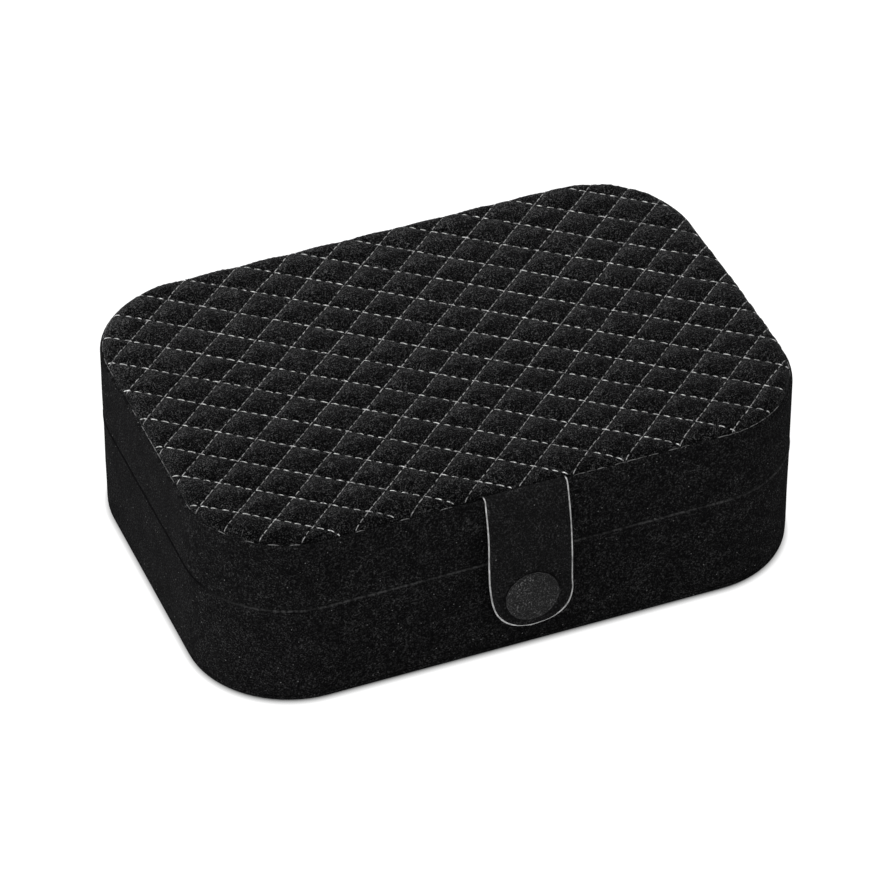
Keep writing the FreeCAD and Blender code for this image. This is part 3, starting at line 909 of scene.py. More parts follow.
def velvet_band(name: str, profile: Profile, finish: bpy.types.Material, limit: float, upward: bool,
                notch_inset: float, soft: float) -> bpy.types.Object:
    """A velvet band round the case, cut out at the hinges.

    Args:
        name: The piece's name.
        profile: The band's closed section, as pairs of inset and height.
        finish: Its material.
        limit: Height at which the hinge notches stop.
        upward: Whether the band lies above that height.
        notch_inset: How far in the section reaches within a notch.
        soft: How far the cloth wavers on the wall.

    Returns:
        The new piece.
    """
    columns = CASE.outline.columns(BAND_STEP, notches=CASE.hinge_notches())
    notched = columns[2]
    rows = []
    for inset, height in profile:
        cut = max(height, limit) if upward else min(height, limit)
        inner = min(inset, notch_inset) if cut != height else inset
        eased = inset + np.clip(columns[1][:, 1], 0, 1) ** 2 * max(0.0, CASE.hinge_ease(height) - inset)
        ring = CASE.outline.ring(columns, np.where(notched, inner, eased), np.where(notched, cut, height))
        if inset < CASE.velvet / 2:
            ring[:, :2] += columns[1] * (soft * waver(ring, BAND_WAVE, 0.7))[:, None]
        rows.append(ring)
    return new_piece(name, *loft(np.array(rows), loop=True), finish)


def panel(name: str, profile: Profile, finish: bpy.types.Material) -> bpy.types.Object:
    """A flat panel of the case's outline, from the middle of its underside to the middle of its top.

    Args:
        name: The piece's name.
        profile: Pairs of inset and height, outward below and inward above.
        finish: Its material.

    Returns:
        The new piece.
    """
    columns = CASE.outline.columns(BAND_STEP)
    rows = np.array([CASE.outline.ring(columns, inset, height) for inset, height in profile])
    return new_piece(name, *loft(rows, loop=False, caps=True), finish)


def scaled(pairs: Sequence[tuple[float, float]]) -> list[tuple[float, float]]:
    """Turns pairs of millimetres into metres."""
    return [(a * MM, b * MM) for a, b in pairs]


def rivet_heads(name: str, places: Sequence[tuple[float, float, float]], finish: bpy.types.Material
                ) -> bpy.types.Object:
    """Low domed rivet heads that look forward from a leaf.

    Args:
        name: The piece's name.
        places: Middles of the heads' seats.
        finish: Their material.

    Returns:
        One piece with all the heads.
    """
    section = scaled([(1.6, 0.0), (1.6, 0.18), (1.35, 0.38), (0.8, 0.52), (0.3, 0.57)])
    heads = [loft(dome(place, section, 24), loop=False, caps=True) for place in places]
    return new_piece(name, *joined(heads), finish)


@dataclass(frozen=True)
class Stuffing:
    """Swells a sewn cover by cloth simulation while its seams are held."""

    pressure: float
    slack: float
    limit: float
    frames: int = 16
    enlarge: float = 50.0
    quality: int = 5
    mass: float = 0.06
    stretch: float = 12.0
    bending: float = 0.25

    def swell(self, piece: bpy.types.Object, held: np.ndarray) -> None:
        """Swells a cover and keeps the result in its mesh.

        Args:
            piece: The cover, at its place.
            held: Which of its points stay where they are.
        """
        start = np.empty(len(piece.data.vertices) * 3)
        piece.data.vertices.foreach_get("co", start)
        large = bpy.data.objects.new("swelling", piece.data.copy())
        large.data.vertices.foreach_set("co", start * self.enlarge)
        bpy.context.scene.collection.objects.link(large)
        large.vertex_groups.new(name="held").add(np.flatnonzero(held).tolist(), 1.0, "REPLACE")
        end = self._simulated(large) / self.enlarge
        mesh = large.data
        bpy.data.objects.remove(large)
        bpy.data.meshes.remove(mesh)
        moved = (end - start).reshape(-1, 3)
        far = np.maximum(np.linalg.norm(moved, axis=1, keepdims=True), 1e-12)
        moved *= self.limit * np.tanh(far / self.limit) / far
        piece.data.vertices.foreach_set("co", start + moved.ravel())
        piece.data.update()
        LOG.info("%s swells by up to %.2f mm", piece.name, np.abs(moved).max() / MM)

    def _simulated(self, large: bpy.types.Object) -> np.ndarray:
        """Runs the cloth on an enlarged copy.

        Args:
            large: The copy, with its held points in a group.

        Returns:
            The coordinates at the end, in one row.
        """
        cloth = large.modifiers.new("cloth", "CLOTH")
        settings = cloth.settings
        settings.vertex_group_mass = "held"
        settings.quality, settings.mass = self.quality, self.mass
        settings.use_pressure, settings.uniform_pressure_force = True, self.pressure
        settings.shrink_min = -self.slack
        settings.tension_stiffness = settings.compression_stiffness = self.stretch
        settings.shear_stiffness, settings.bending_stiffness = self.stretch / 2, self.bending
        settings.effector_weights.gravity = 0.0
        cloth.point_cache.frame_start, cloth.point_cache.frame_end = 1, self.frames
        for frame in range(1, self.frames + 1):
            bpy.context.scene.frame_set(frame)
        final = large.evaluated_get(bpy.context.evaluated_depsgraph_get()).data
        end = np.empty(len(final.vertices) * 3)
        final.vertices.foreach_get("co", end)
        bpy.context.scene.frame_set(1)
        return end


# Base


@dataclass
class BaseTray:
    """The base: velvet band, bottom pad, lining, floor, dividers and ring bars."""

    bars: int = 7
    bar_length: float = 53.8 * MM
    bar_width: float = 13.8 * MM
    bar_height: float = 16.8 * MM
    bar_draw_in: float = 0.8 * MM
    bar_tuck: float = 2.6 * MM
    bar_foot: float = 0.6 * MM
    bar_dents: float = 0.12 * MM
    bar_stuffing: Stuffing = Stuffing(pressure=3.0, slack=0.015, limit=0.3 * MM)
    floor: float = 3.2 * MM
    room_depth: float = 101.6 * MM
    bottom: Profile = field(default_factory=lambda: scaled([
        (27, 0), (4, 0), (2.0, 0), (1.25, 0.08), (0.75, 0.3), (0.36, 0.6), (0.16, 1.1), (0.08, 1.5),
        (0.18, 1.8), (0.5, 1.97), (0.9, 2.0), (27, 2.0)]))
    band: Profile = field(default_factory=lambda: scaled([
        (0.42, 2.02), (0.14, 2.2), (0.02, 2.6), (0, 3.4), (0, 8), (0, 13), (0, 18), (0, 23), (0, 27),
        (-0.06, 28.3), (-0.14, 29.2), (-0.12, 29.5), (-0.02, 29.74), (0.14, 29.89), (0.36, 29.95),
        (0.9, 29.95), (2.3, 29.9), (2.7, 29.8), (2.93, 29.62), (3.0, 29.4), (0.82, 29.36), (0.82, 28.2),
        (0.82, 2.02)]))
    lining: Profile = field(default_factory=lambda: scaled([
        (4.2, 3.0), (4.2, 8), (4.2, 14), (4.2, 20), (4.2, 28.6), (4.08, 28.98), (3.8, 29.22), (3.4, 29.3),
        (3.08, 29.26), (3.02, 28.6), (3.02, 20), (3.02, 3.0)]))
    floor_pad: Profile = field(default_factory=lambda: scaled([
        (27, 2.02), (5, 2.02), (4.5, 2.1), (4.32, 2.5), (4.4, 2.9), (4.7, 3.12), (5.3, 3.2), (27, 3.2)]))

    def build(self, wardrobe: Wardrobe) -> None:
        """Builds the soft pieces of the base.

        Args:
            wardrobe: The finishes.
        """
        settle(panel("bottom_pad", self.bottom, wardrobe.band), Body.BASE, Slot.VELVET, "bottom_panel")
        band = velvet_band("base_band", self.band, wardrobe.base_band, CASE.parting - CASE.seat, False,
                           CASE.velvet, BAND_SOFTNESS)
        settle(band, Body.BASE, Slot.VELVET, "base_cover")
        lining = velvet_band("tray_wall_velvet", self.lining, wardrobe.lining, CASE.parting - CASE.leaf_seat,
                             False, CASE.room, 0.0)
        settle(lining, Body.BASE, Slot.LINING, "tray_lining")
        floor = panel("tray_floor_velvet", self.floor_pad, wardrobe.lining)
        settle(floor, Body.BASE, Slot.LINING, "tray_floor")
        for number in range(1, self.bars + 1):
            bar = self._ring_bar(number, wardrobe.lining)
            settle(bar, Body.BASE, Slot.RINGS, f"ring_roll_{number}")

    def _ring_bar(self, number: int, finish: bpy.types.Material) -> bpy.types.Object:
        """One padded ring bar with a crowned top and tucked ends.

        Args:
            number: The bar's number, from the front.
            finish: Its velvet.

        Returns:
            The new piece.
        """
        pitch = self.room_depth / self.bars
        middle = (number - 0.5) * pitch - self.room_depth / 2
        half, radius = self.bar_length / 2, self.bar_width / 2
        shoulder = self.bar_height - radius
        foot = radius - self.bar_draw_in
        sole = foot - self.bar_foot
        over = [(radius * math.cos(a), shoulder + radius * math.sin(a)) for a in np.linspace(0, math.pi, 25)]
        right = [(foot, 0.3 * MM), (foot + 0.25 * self.bar_draw_in, 0.3 * shoulder),
                 (foot + 0.7 * self.bar_draw_in, 0.7 * shoulder)]
        section = np.array([(sole, 0.0), *right, *over, *[(-y, z) for y, z in reversed(right)], (-sole, 0.0)])
        tuck = self.bar_tuck
        stations = np.concatenate([-half + tuck * (1 - np.cos(np.linspace(0, math.pi / 2, 7))),
                                   np.linspace(-half + tuck, half - tuck, 23)[1:-1],
                                   half - tuck * (1 - np.cos(np.linspace(math.pi / 2, 0, 7)))])
        rows = []
        for x in stations:
            share = max(0.0, (abs(x) - (half - tuck)) / tuck)
            drawn = tuck * (1 - math.sqrt(max(0.0, 1 - share ** 2)))
            y = section[:, 0] * (1 - drawn / radius)
            z = section[:, 1] * (1 - drawn / self.bar_height)
            ring = np.stack([np.full_like(y, x), y + middle, z + self.floor], axis=1)
            dent = self.bar_dents * waver(ring, 18 * MM, number)
            ring[:, 2] -= np.abs(dent) * (section[:, 1] > shoulder)
            rows.append(ring)
        bar = new_piece(f"ring_bar_{number}", *loft(np.array(rows), loop=False, caps=True), finish)
        points = points_of(bar)
        glued = points[:, 2] < self.floor + self.bar_foot
        tucked = np.abs(points[:, 0]) > half - 0.1 * MM
        self.bar_stuffing.swell(bar, glued | tucked)
        return bar

    def dress(self, nodes: dict[str, bpy.types.Object], wardrobe: Wardrobe) -> None:
        """Gives the carried-over solids of the base their finishes.

        Args:
            nodes: The frame's solids by name.
            wardrobe: The finishes.
        """
        give(nodes, wardrobe.board, "base_wall")
        give(nodes, wardrobe.lining, "left_divider", "right_divider", "cross_divider")
        give(nodes, wardrobe.snap, "snap_stud", "stud_post")
        give(nodes, wardrobe.hinge, "hinge_base_leaf_left", "hinge_base_leaf_right", "hinge_pin_left",
             "hinge_pin_right")


# Lid


@dataclass(frozen=True)
class QuiltSurface:
    """The quilted panel's surface: two families of sewn lines with puffs between them."""

    outline: RoundedOutline = RoundedOutline(158.4 * MM, 108.4 * MM, 26.2 * MM)
    seat: float = 50 * MM
    crown: float = 2.3 * MM
    valley: float = 1.15 * MM
    roll: float = 3.0 * MM
    fullness: float = 2.2
    angles: Span = (-38.5, 41.05)
    spacings: Span = (9.28 * MM, 9.33 * MM)
    phases: Span = (1.35 * MM, -1.78 * MM)
    wander: float = 0.16 * MM
    wander_waves: Span = (47 * MM, 39 * MM)
    tab_middle: float = -1.5 * MM
    tab_half: float = 11 * MM
    tab_lift: float = 0.75 * MM
    tab_blend: float = 2.5 * MM
    tab_reach: float = -45 * MM
    right_bow: float = 0.62 * MM
    bow_middle: float = -6 * MM
    bow_reach: float = 27 * MM
    bow_blend: float = 10 * MM
    unevenness: float = 0.1
    crease: float = 0.05 * MM
    crease_wave: float = 5.5 * MM
    edge_reach: float = 7 * MM
    edge_fullness: float = 0.6

    def bowed(self, points: np.ndarray) -> np.ndarray:
        """Draws the panel's right side out over the band, most in the middle.

        Args:
            points: Points of the panel or its thread.

        Returns:
            The moved points.
        """
        near = np.clip((points[:, 0] - self.outline.length / 2) / self.bow_blend + 1, 0, 1)
        along = np.clip(1 - ((points[:, 1] - self.bow_middle) / self.bow_reach) ** 4, 0, 1)
        moved = points.copy()
        moved[:, 0] += self.right_bow * near * near * along
        return moved

    def normals(self) -> np.ndarray:
        """The plan normals of the two families, one per row."""
        turns = np.radians(self.angles)
        return np.stack([-np.sin(turns), np.cos(turns)], axis=1)

    def along(self, family: Family) -> tuple[np.ndarray, np.ndarray, float, float]:
        """How a family of lines runs.

        Args:
            family: Which lines.

        Returns:
            Their direction, normal, spacing and phase.
        """
        index = 0 if family is Family.FALLING else 1
        normal = self.normals()[index]
        return np.array([normal[1], -normal[0]]), normal, self.spacings[index], self.phases[index]

    def lattice(self, points: np.ndarray) -> np.ndarray:
        """Each point's place in the two families, whole numbers on the sewn lines."""
        return (points[:, :2] @ self.normals().T - np.array(self.phases)) / np.array(self.spacings)

    def plan(self, lattice: np.ndarray) -> np.ndarray:
        """The points in plan for places in the two families."""
        return (lattice * np.array(self.spacings) + np.array(self.phases)) @ np.linalg.inv(self.normals()).T

    def wandered(self, points: np.ndarray) -> np.ndarray:
        """Moves points in plan by the small wander of the sewing."""
        shifts = [waver(points, wave, seed) for wave, seed in zip(self.wander_waves, (1.9, 5.2))]
        return points + self.wander * np.stack(shifts, axis=1)

    def sewn_lattice(self, points: np.ndarray) -> np.ndarray:
        """Each point's place in the two families as they were sewn, with their wander."""
        return self.lattice(2 * points - self.wandered(points))

    def height(self, points: np.ndarray, lattice: np.ndarray) -> np.ndarray:
        """The surface's height.

        Args:
            points: Points in plan.
            lattice: Their places in the two families.

        Returns:
            One height per point.
        """
        inside = np.clip(self.outline.depth_inside(points), 0, self.roll)
        edge = np.sqrt(1 - (1 - inside / self.roll) ** 2)
        off = np.abs(lattice - np.round(lattice)) * 2
        swell = np.prod(1 - (1 - off) ** self.fullness, axis=1)
        cell = np.floor(lattice)
        uneven = 1 + self.unevenness * np.sin(cell[:, 0] * 12.9898 + cell[:, 1] * 78.233) * swell
        creases = self.crease * waver(points, self.crease_wave, 0.4) * swell
        swell = swell * np.interp(self.outline.depth_inside(points), (0, self.edge_reach),
                                  (self.edge_fullness, 1.0))
        level = self.seat_height(points)
        puff = (self.crown - self.valley) * swell * np.minimum(uneven, 1.02)
        top = self.seat + self.valley + puff + creases
        return level + edge * (top - level)

    def seat_height(self, points: np.ndarray) -> np.ndarray:
        """Where the panel's edge rests: on the band, or over the tab's end at the front.

        Args:
            points: Points in plan.

        Returns:
            One height per point.
        """
        off = np.abs(points[:, 0] - self.tab_middle) - self.tab_half
        share = np.clip(1 - off / self.tab_blend, 0, 1) * (points[:, 1] < self.tab_reach)
        return self.seat + self.tab_lift * share * share * (3 - 2 * share)


@dataclass(frozen=True)
class Sewing:
    """How a line is sewn: its pitch, the share of it where thread shows, and the thread's radius."""

    pitch: float
    share: float
    radius: float


@dataclass
class QuiltedPanel:
    """The quilted top: padded velvet, and the thread sewn through it."""

    surface: QuiltSurface = QuiltSurface()
    cell_steps: int = 12
    trim: float = 0.3 * MM
    hem: Profile = field(default_factory=lambda: scaled([
        (0.1, 0.3), (0.0, 0.05), (0.25, -0.04), (1.2, -0.06)]))
    stuffing: Stuffing = Stuffing(pressure=6.0, slack=0.04, limit=0.55 * MM)
    falling: Sewing = Sewing(pitch=2.75 * MM, share=0.76, radius=0.135 * MM)
    rising: Sewing = Sewing(pitch=2.3 * MM, share=0.9, radius=0.125 * MM)
    length_spread: Span = (0.82, 1.12)
    pitch_spread: Span = (0.92, 1.08)
    drift: float = 0.05 * MM
    seam_end: float = 0.5 * MM
    hem_lengths: Span = (2.0, 3.2)
    hem_gaps: Span = (0.05, 0.5)
    hem_radius: float = 0.1 * MM
    hem_arch: float = 0.12 * MM
    hem_lift: float = 0.06 * MM
    hem_outside: float = 0.08 * MM
    hem_sunk: float = 0.35
    hem_sunk_front: float = 0.75
    sewn_width: float = 0.006
    hem_width: float = 0.6 * MM
    thread_sides: int = 6
    stitch_rings: int = 7

    def build(self, wardrobe: Wardrobe) -> None:
        """Builds the panel and its thread.

        Args:
            wardrobe: The finishes.
        """
        panel_piece = self._panel(wardrobe.quilt)
        settle(panel_piece, Body.LID, Slot.QUILT, "quilted_top", "top_padding")
        draw = np.random.default_rng(20)
        falling = self._stitches(Family.FALLING, self.falling, draw)
        rising = self._stitches(Family.RISING, self.rising, draw)
        hem = self._hem_stitches(draw)
        # The falling stitches take the painted lit copy of the thread, and the rising stitches the painted
        # shaded copy.
        for name, thread, finish in (("stitches_falling", falling, wardrobe.painted_lit_thread),
                                     ("stitches_rising", rising, wardrobe.painted_shaded_thread),
                                     ("hem_stitches", hem, wardrobe.hem_thread)):
            settle(new_piece(name, *thread, finish, closed=False), Body.LID, Slot.QUILT)

    def _grid(self) -> tuple[np.ndarray, np.ndarray]:
        """A grid along the sewn lines that covers the whole panel.

        Returns:
            Each point's place in the two families, and the faces' corner numbers.
        """
        surface, outline = self.surface, self.surface.outline
        even = np.linspace(0, 1, self.cell_steps, endpoint=False)
        shares = 0.45 * even + 0.55 * (1 - np.cos(np.pi * even)) / 2
        reach = np.array([[x, y] for x in (-1, 1) for y in (-1, 1)]) * [outline.length / 2, outline.depth / 2]
        corners = surface.lattice(reach)
        low, high = np.floor(corners.min(axis=0)), np.ceil(corners.max(axis=0))
        axes = [(np.arange(low[i], high[i])[:, None] + shares).ravel() for i in (0, 1)]
        lattice = np.stack(np.meshgrid(*axes, indexing="ij"), axis=-1)
        number = np.arange(lattice.shape[0] * lattice.shape[1]).reshape(lattice.shape[:2])
        quads = np.stack([number[:-1, :-1], number[1:, :-1], number[1:, 1:], number[:-1, 1:]], axis=-1)
        return lattice.reshape(-1, 2), quads.reshape(-1, 4)

    def _panel(self, finish: bpy.types.Material) -> bpy.types.Object:
        """The padded velvet, meshed along the sewn lines and trimmed to the outline.

        Args:
            finish: Its velvet.

        Returns:
            The new piece.
        """
        surface, outline = self.surface, self.surface.outline
        lattice, quads = self._grid()
        points = surface.wandered(surface.plan(lattice))
        inside = outline.depth_inside(points) > self.trim
        quads = quads[inside[quads].any(axis=1)]
        rim = np.setdiff1d(np.unique(quads), np.flatnonzero(inside))
        points[rim], _ = outline.drawn_to(points[rim], self.trim)
        lattice[rim] = surface.sewn_lattice(points[rim])
        used, packed = np.unique(quads, return_inverse=True)
        quads = packed.reshape(-1, 4)
        points, lattice = points[used], lattice[used]
        verts = np.column_stack([points, surface.height(points, lattice)])
        if np.cross(*(verts[quads[0, [1, 3]]] - verts[quads[0, 0]]))[2] < 0:
            quads = quads[:, ::-1]
        verts, hem_faces = self._hem(verts, quads)
        piece = new_piece("quilt", verts, quads.tolist() + hem_faces, finish)
        self.stuffing.swell(piece, self._held(piece))
        piece.data.vertices.foreach_set("co", surface.bowed(points_of(piece)).ravel())
        piece.data.update()
        return piece

    def _held(self, piece: bpy.types.Object) -> np.ndarray:
        """Finds the panel's points that are sewn down or lie in its hem.

        Args:
            piece: The panel.

        Returns:
            Whether each point is held.
        """
        points = points_of(piece)
        lattice = self.surface.sewn_lattice(points[:, :2])
        sewn = (np.abs(lattice - np.round(lattice)) < self.sewn_width).any(axis=1)
        return sewn | (self.surface.outline.depth_inside(points) < self.hem_width)

    def _hem(self, verts: np.ndarray, quads: np.ndarray) -> Shape:
        """Turns the panel's edge down to the band and under.

        Args:
            verts: The trimmed panel's points.
            quads: Its faces.

        Returns:
            All points, and the faces of the turned edge.
        """
        edges = np.concatenate([quads[:, [i, (i + 1) % 4]] for i in range(4)])
        keys = {(int(a), int(b)) for a, b in edges}
        border = np.array([(a, b) for a, b in keys if (b, a) not in keys])
        loop = np.unique(border)
        row = {int(corner): place for place, corner in enumerate(loop)}
        level = self.surface.seat_height(verts[loop])
        drop = verts[loop, 2] - level
        layers, faces, before = [verts], [], {int(corner): int(corner) for corner in loop}
        count = len(verts)
        for depth, share in self.hem:
            plan, _ = self.surface.outline.drawn_to(verts[loop], depth)
            rise = np.where(share > 0, drop * share / (self.hem[0][1] * 1.6), share)
            layers.append(np.column_stack([plan, level + rise]))
            now = {int(corner): count + row[int(corner)] for corner in loop}
            faces += [[before[int(b)], before[int(a)], now[int(a)], now[int(b)]] for a, b in border]
            before, count = now, count + len(loop)
        return np.concatenate(layers), faces

    def _stitches(self, family: Family, sewing: Sewing, draw: np.random.Generator) -> Shape:
        """Sews one family of lines.

        Args:
            family: Which lines.
            sewing: How they are sewn.
            draw: Source of the stitches' small differences.

        Returns:
            Points and faces of all the stitches.
        """
        surface = self.surface
        direction, normal, spacing, phase = surface.along(family)
        half = math.hypot(surface.outline.length, surface.outline.depth) / 2
        walk = np.linspace(-half, half, 1600)
        lines = math.ceil(half / spacing)
        paths = []
        for line in range(-lines, lines + 1):
            seam = normal * (phase + line * spacing)
            walked = surface.wandered(seam + direction * walk[:, None])
            within = walk[surface.outline.depth_inside(walked) > 0.1 * MM]
            if len(within) < 12:
                continue
            start = within[0]
            while start < within[-1] - self.seam_end:
                shown = sewing.pitch * sewing.share * draw.uniform(*self.length_spread)
                end = min(start + shown, within[-1])
                run = np.linspace(start, end, self.stitch_rings)
                flat = surface.wandered(seam + direction * run[:, None])
                paths.append(flat + normal * draw.normal(0, self.drift))
                start += sewing.pitch * draw.uniform(*self.pitch_spread)
        return self._tubes([self._laid(path, sewing.radius) for path in paths], sewing.radius)

    def _laid(self, flat: np.ndarray, radius: float) -> np.ndarray:
        """Lays a stitch on the surface, arched between the points where it goes in.

        Args:
            flat: The stitch in plan.
            radius: The thread's.

        Returns:
            The stitch's middle line.
        """
        lattice = self.surface.sewn_lattice(flat)
        nearest = np.argmin(np.abs(lattice - np.round(lattice)).mean(axis=0))
        lattice[:, nearest] = np.round(lattice[:, nearest])
        arch = np.sin(np.linspace(0, math.pi, len(flat))) * radius * 1.5 - radius * 0.7
        return self.surface.bowed(np.column_stack([flat, self.surface.height(flat, lattice) + arch]))

    def _hem_stitches(self, draw: np.random.Generator) -> Shape:
        """The thin thread that shows where the panel meets the band.

        Args:
            draw: Source of the stitches' small differences.

        Returns:
            Points and faces of all the stitches.
        """
        surface, outline = self.surface, self.surface.outline
        cores, normals, _ = outline.columns(0.7 * MM, arc_steps=60)
        line = cores + normals * (outline.corner + self.hem_outside)
        travelled = travel(line)
        paths, start = [], 0.0
        while start < travelled[-1] - 4 * MM:
            length = draw.uniform(*self.hem_lengths) * MM
            run = np.linspace(start, start + length, self.stitch_rings)
            flat = np.column_stack([np.interp(run, travelled, line[:, axis]) for axis in (0, 1)])
            over_tab = np.abs(flat[:, 0] - surface.tab_middle).min() < 11.6 * MM and flat[0, 1] < 0
            front_left = flat[0, 0] < 0 and flat[0, 1] < -30 * MM
            sunk = draw.uniform() < (self.hem_sunk_front if front_left else self.hem_sunk)
            if not (over_tab or sunk):
                arch = np.sin(np.linspace(0, math.pi, len(run))) * self.hem_arch
                paths.append(surface.bowed(np.column_stack([flat, surface.seat + self.hem_lift + arch])))
            start += length + draw.uniform(*self.hem_gaps) * MM
        return self._tubes(paths, self.hem_radius)

    def _tubes(self, paths: Sequence[np.ndarray], radius: float) -> Shape:
        """Thread of a round section along many short paths.

        Args:
            paths: The paths' points.
            radius: The thread's.

        Returns:
            Points and faces.
        """
        turns = np.linspace(0, 2 * math.pi, self.thread_sides, endpoint=False)
        stitches = []
        for path in paths:
            tangent = np.gradient(path, axis=0)
            tangent /= np.linalg.norm(tangent, axis=1, keepdims=True)
            across = np.cross(tangent, [0.0, 0.0, 1.0])
            across /= np.linalg.norm(across, axis=1, keepdims=True)
            up = np.cross(across, tangent)
            fullness = np.sin(np.linspace(0.12, math.pi - 0.12, len(path))) * 1.6
            taper = radius * np.sqrt(np.clip(fullness, 0.2, 1))
            rows = path[:, None] + taper[:, None, None] * (
                across[:, None] * np.cos(turns)[None, :, None] + up[:, None] * np.sin(turns)[None, :, None])
            stitches.append(loft(rows, loop=False, caps=True))
        return joined(stitches)


@dataclass
class Lid:
    """The lid: velvet band, lining, mirror surround and hinge leaves."""

    surround_low: float = 43.8 * MM
    glass_under: float = 45.2 * MM
    board_under: float = 47.2 * MM
    window: RoundedOutline = RoundedOutline(118 * MM, 70 * MM, 6 * MM)
    rebate: RoundedOutline = RoundedOutline(122.2 * MM, 74.2 * MM, 8.1 * MM)
    surround: RoundedOutline = RoundedOutline(151.4 * MM, 101.4 * MM, 22.7 * MM)
    surround_face: Profile = (
        (0, 0.9 * MM), (0.02, 0.4 * MM), (0.06, 0.1 * MM), (0.14, 0), (0.5, -0.15 * MM), (0.84, 0),
        (0.94, 0.12 * MM), (0.985, 0.5 * MM), (1, 1.0 * MM))
    glass_room: float = 0.02 * MM
    band: Profile = field(default_factory=lambda: scaled([
        (0, 31.6), (0, 31.05), (0, 30.7), (0, 30.4), (0.02, 30.2), (0.08, 30.1), (0.22, 30.05), (0.9, 30.05),
        (2.3, 30.1), (2.7, 30.2), (2.93, 30.38), (3.0, 30.6), (0.82, 30.64), (0.82, 31.8), (0.82, 49.2),
        (6, 49.2), (6, 49.97), (3, 50), (1.2, 50), (0.72, 49.95), (0.36, 49.8), (0.12, 49.52), (0.02, 49.15),
        (0, 48.5), (0, 44), (0, 40), (0, 36)]))
    lining: Profile = field(default_factory=lambda: scaled([
        (4.2, 47.1), (4.2, 42), (4.2, 40), (4.2, 31.4), (4.08, 31.02), (3.8, 30.78), (3.4, 30.7),
        (3.08, 30.74), (3.02, 31.4), (3.02, 40), (3.02, 47.1)]))

    def build(self, wardrobe: Wardrobe) -> None:
        """Builds the soft pieces of the lid.

        Args:
            wardrobe: The finishes.
        """
        band = velvet_band("lid_band", self.band, wardrobe.band, CASE.parting + CASE.seat, True,
                           CASE.velvet, BAND_SOFTNESS)
        settle(band, Body.LID, Slot.VELVET, "lid_cover")
        lining = velvet_band("lid_wall_velvet", self.lining, wardrobe.lining, CASE.parting + CASE.leaf_seat,
                             True, CASE.room, 0.0)
        settle(lining, Body.LID, Slot.LINING, "lid_lining")
        settle(self._mirror_surround(wardrobe.lining), Body.LID, Slot.LINING, "mirror_frame")

    def _mirror_surround(self, finish: bpy.types.Material) -> bpy.types.Object:
        """The soft frame round the mirror, from its outer side over its face to the glass's rebate.

        Args:
            finish: Its velvet.

        Returns:
            The new piece.
        """
        outer, window, rebate = (shape.points() for shape in (self.surround, self.window, self.rebate))
        glass_seat = self.glass_under - self.glass_room
        face = [(share, self.surround_low + rise) for share, rise in self.surround_face]
        rows = [at_height(outer * (1 - share) + window * share, height)
                for share, height in [(0, self.board_under), *face, (1, glass_seat)]]
        rows += [at_height(rebate, height) for height in (glass_seat, self.board_under)]
        return new_piece("mirror_surround", *loft(np.array(rows), loop=True), finish)

    def dress(self, nodes: dict[str, bpy.types.Object], wardrobe: Wardrobe) -> None:
        """Gives the carried-over solids of the lid their finishes.

        Args:
            nodes: The frame's solids by name.
            wardrobe: The finishes.
        """
        give(nodes, wardrobe.board, "lid_wall", "lid_board")
        give(nodes, wardrobe.mirror, "mirror_glass")
        give(nodes, wardrobe.hinge, "hinge_lid_leaf_left", "hinge_lid_leaf_right")


@dataclass
class HingeRivets:
    """The rivets that hold the hinge leaves to the boards."""

    leaf_face: float = 51.4 * MM
    apart: float = 7 * MM
    off_parting: float = 5.4 * MM

    def build(self, wardrobe: Wardrobe) -> None:
        """Builds the rivet heads of both halves.

        Args:
            wardrobe: The finishes.
        """
        for name, body, sign in (("hinge_base_rivets", Body.BASE, -1), ("hinge_lid_rivets", Body.LID, 1)):
            height = CASE.parting + sign * self.off_parting
            places = [(side * CASE.hinge_x + step * self.apart, self.leaf_face, height)
                      for side in (-1, 1) for step in (-1, 1)]
            settle(rivet_heads(name, places, wardrobe.hinge), body, Slot.HINGE)


# Tab


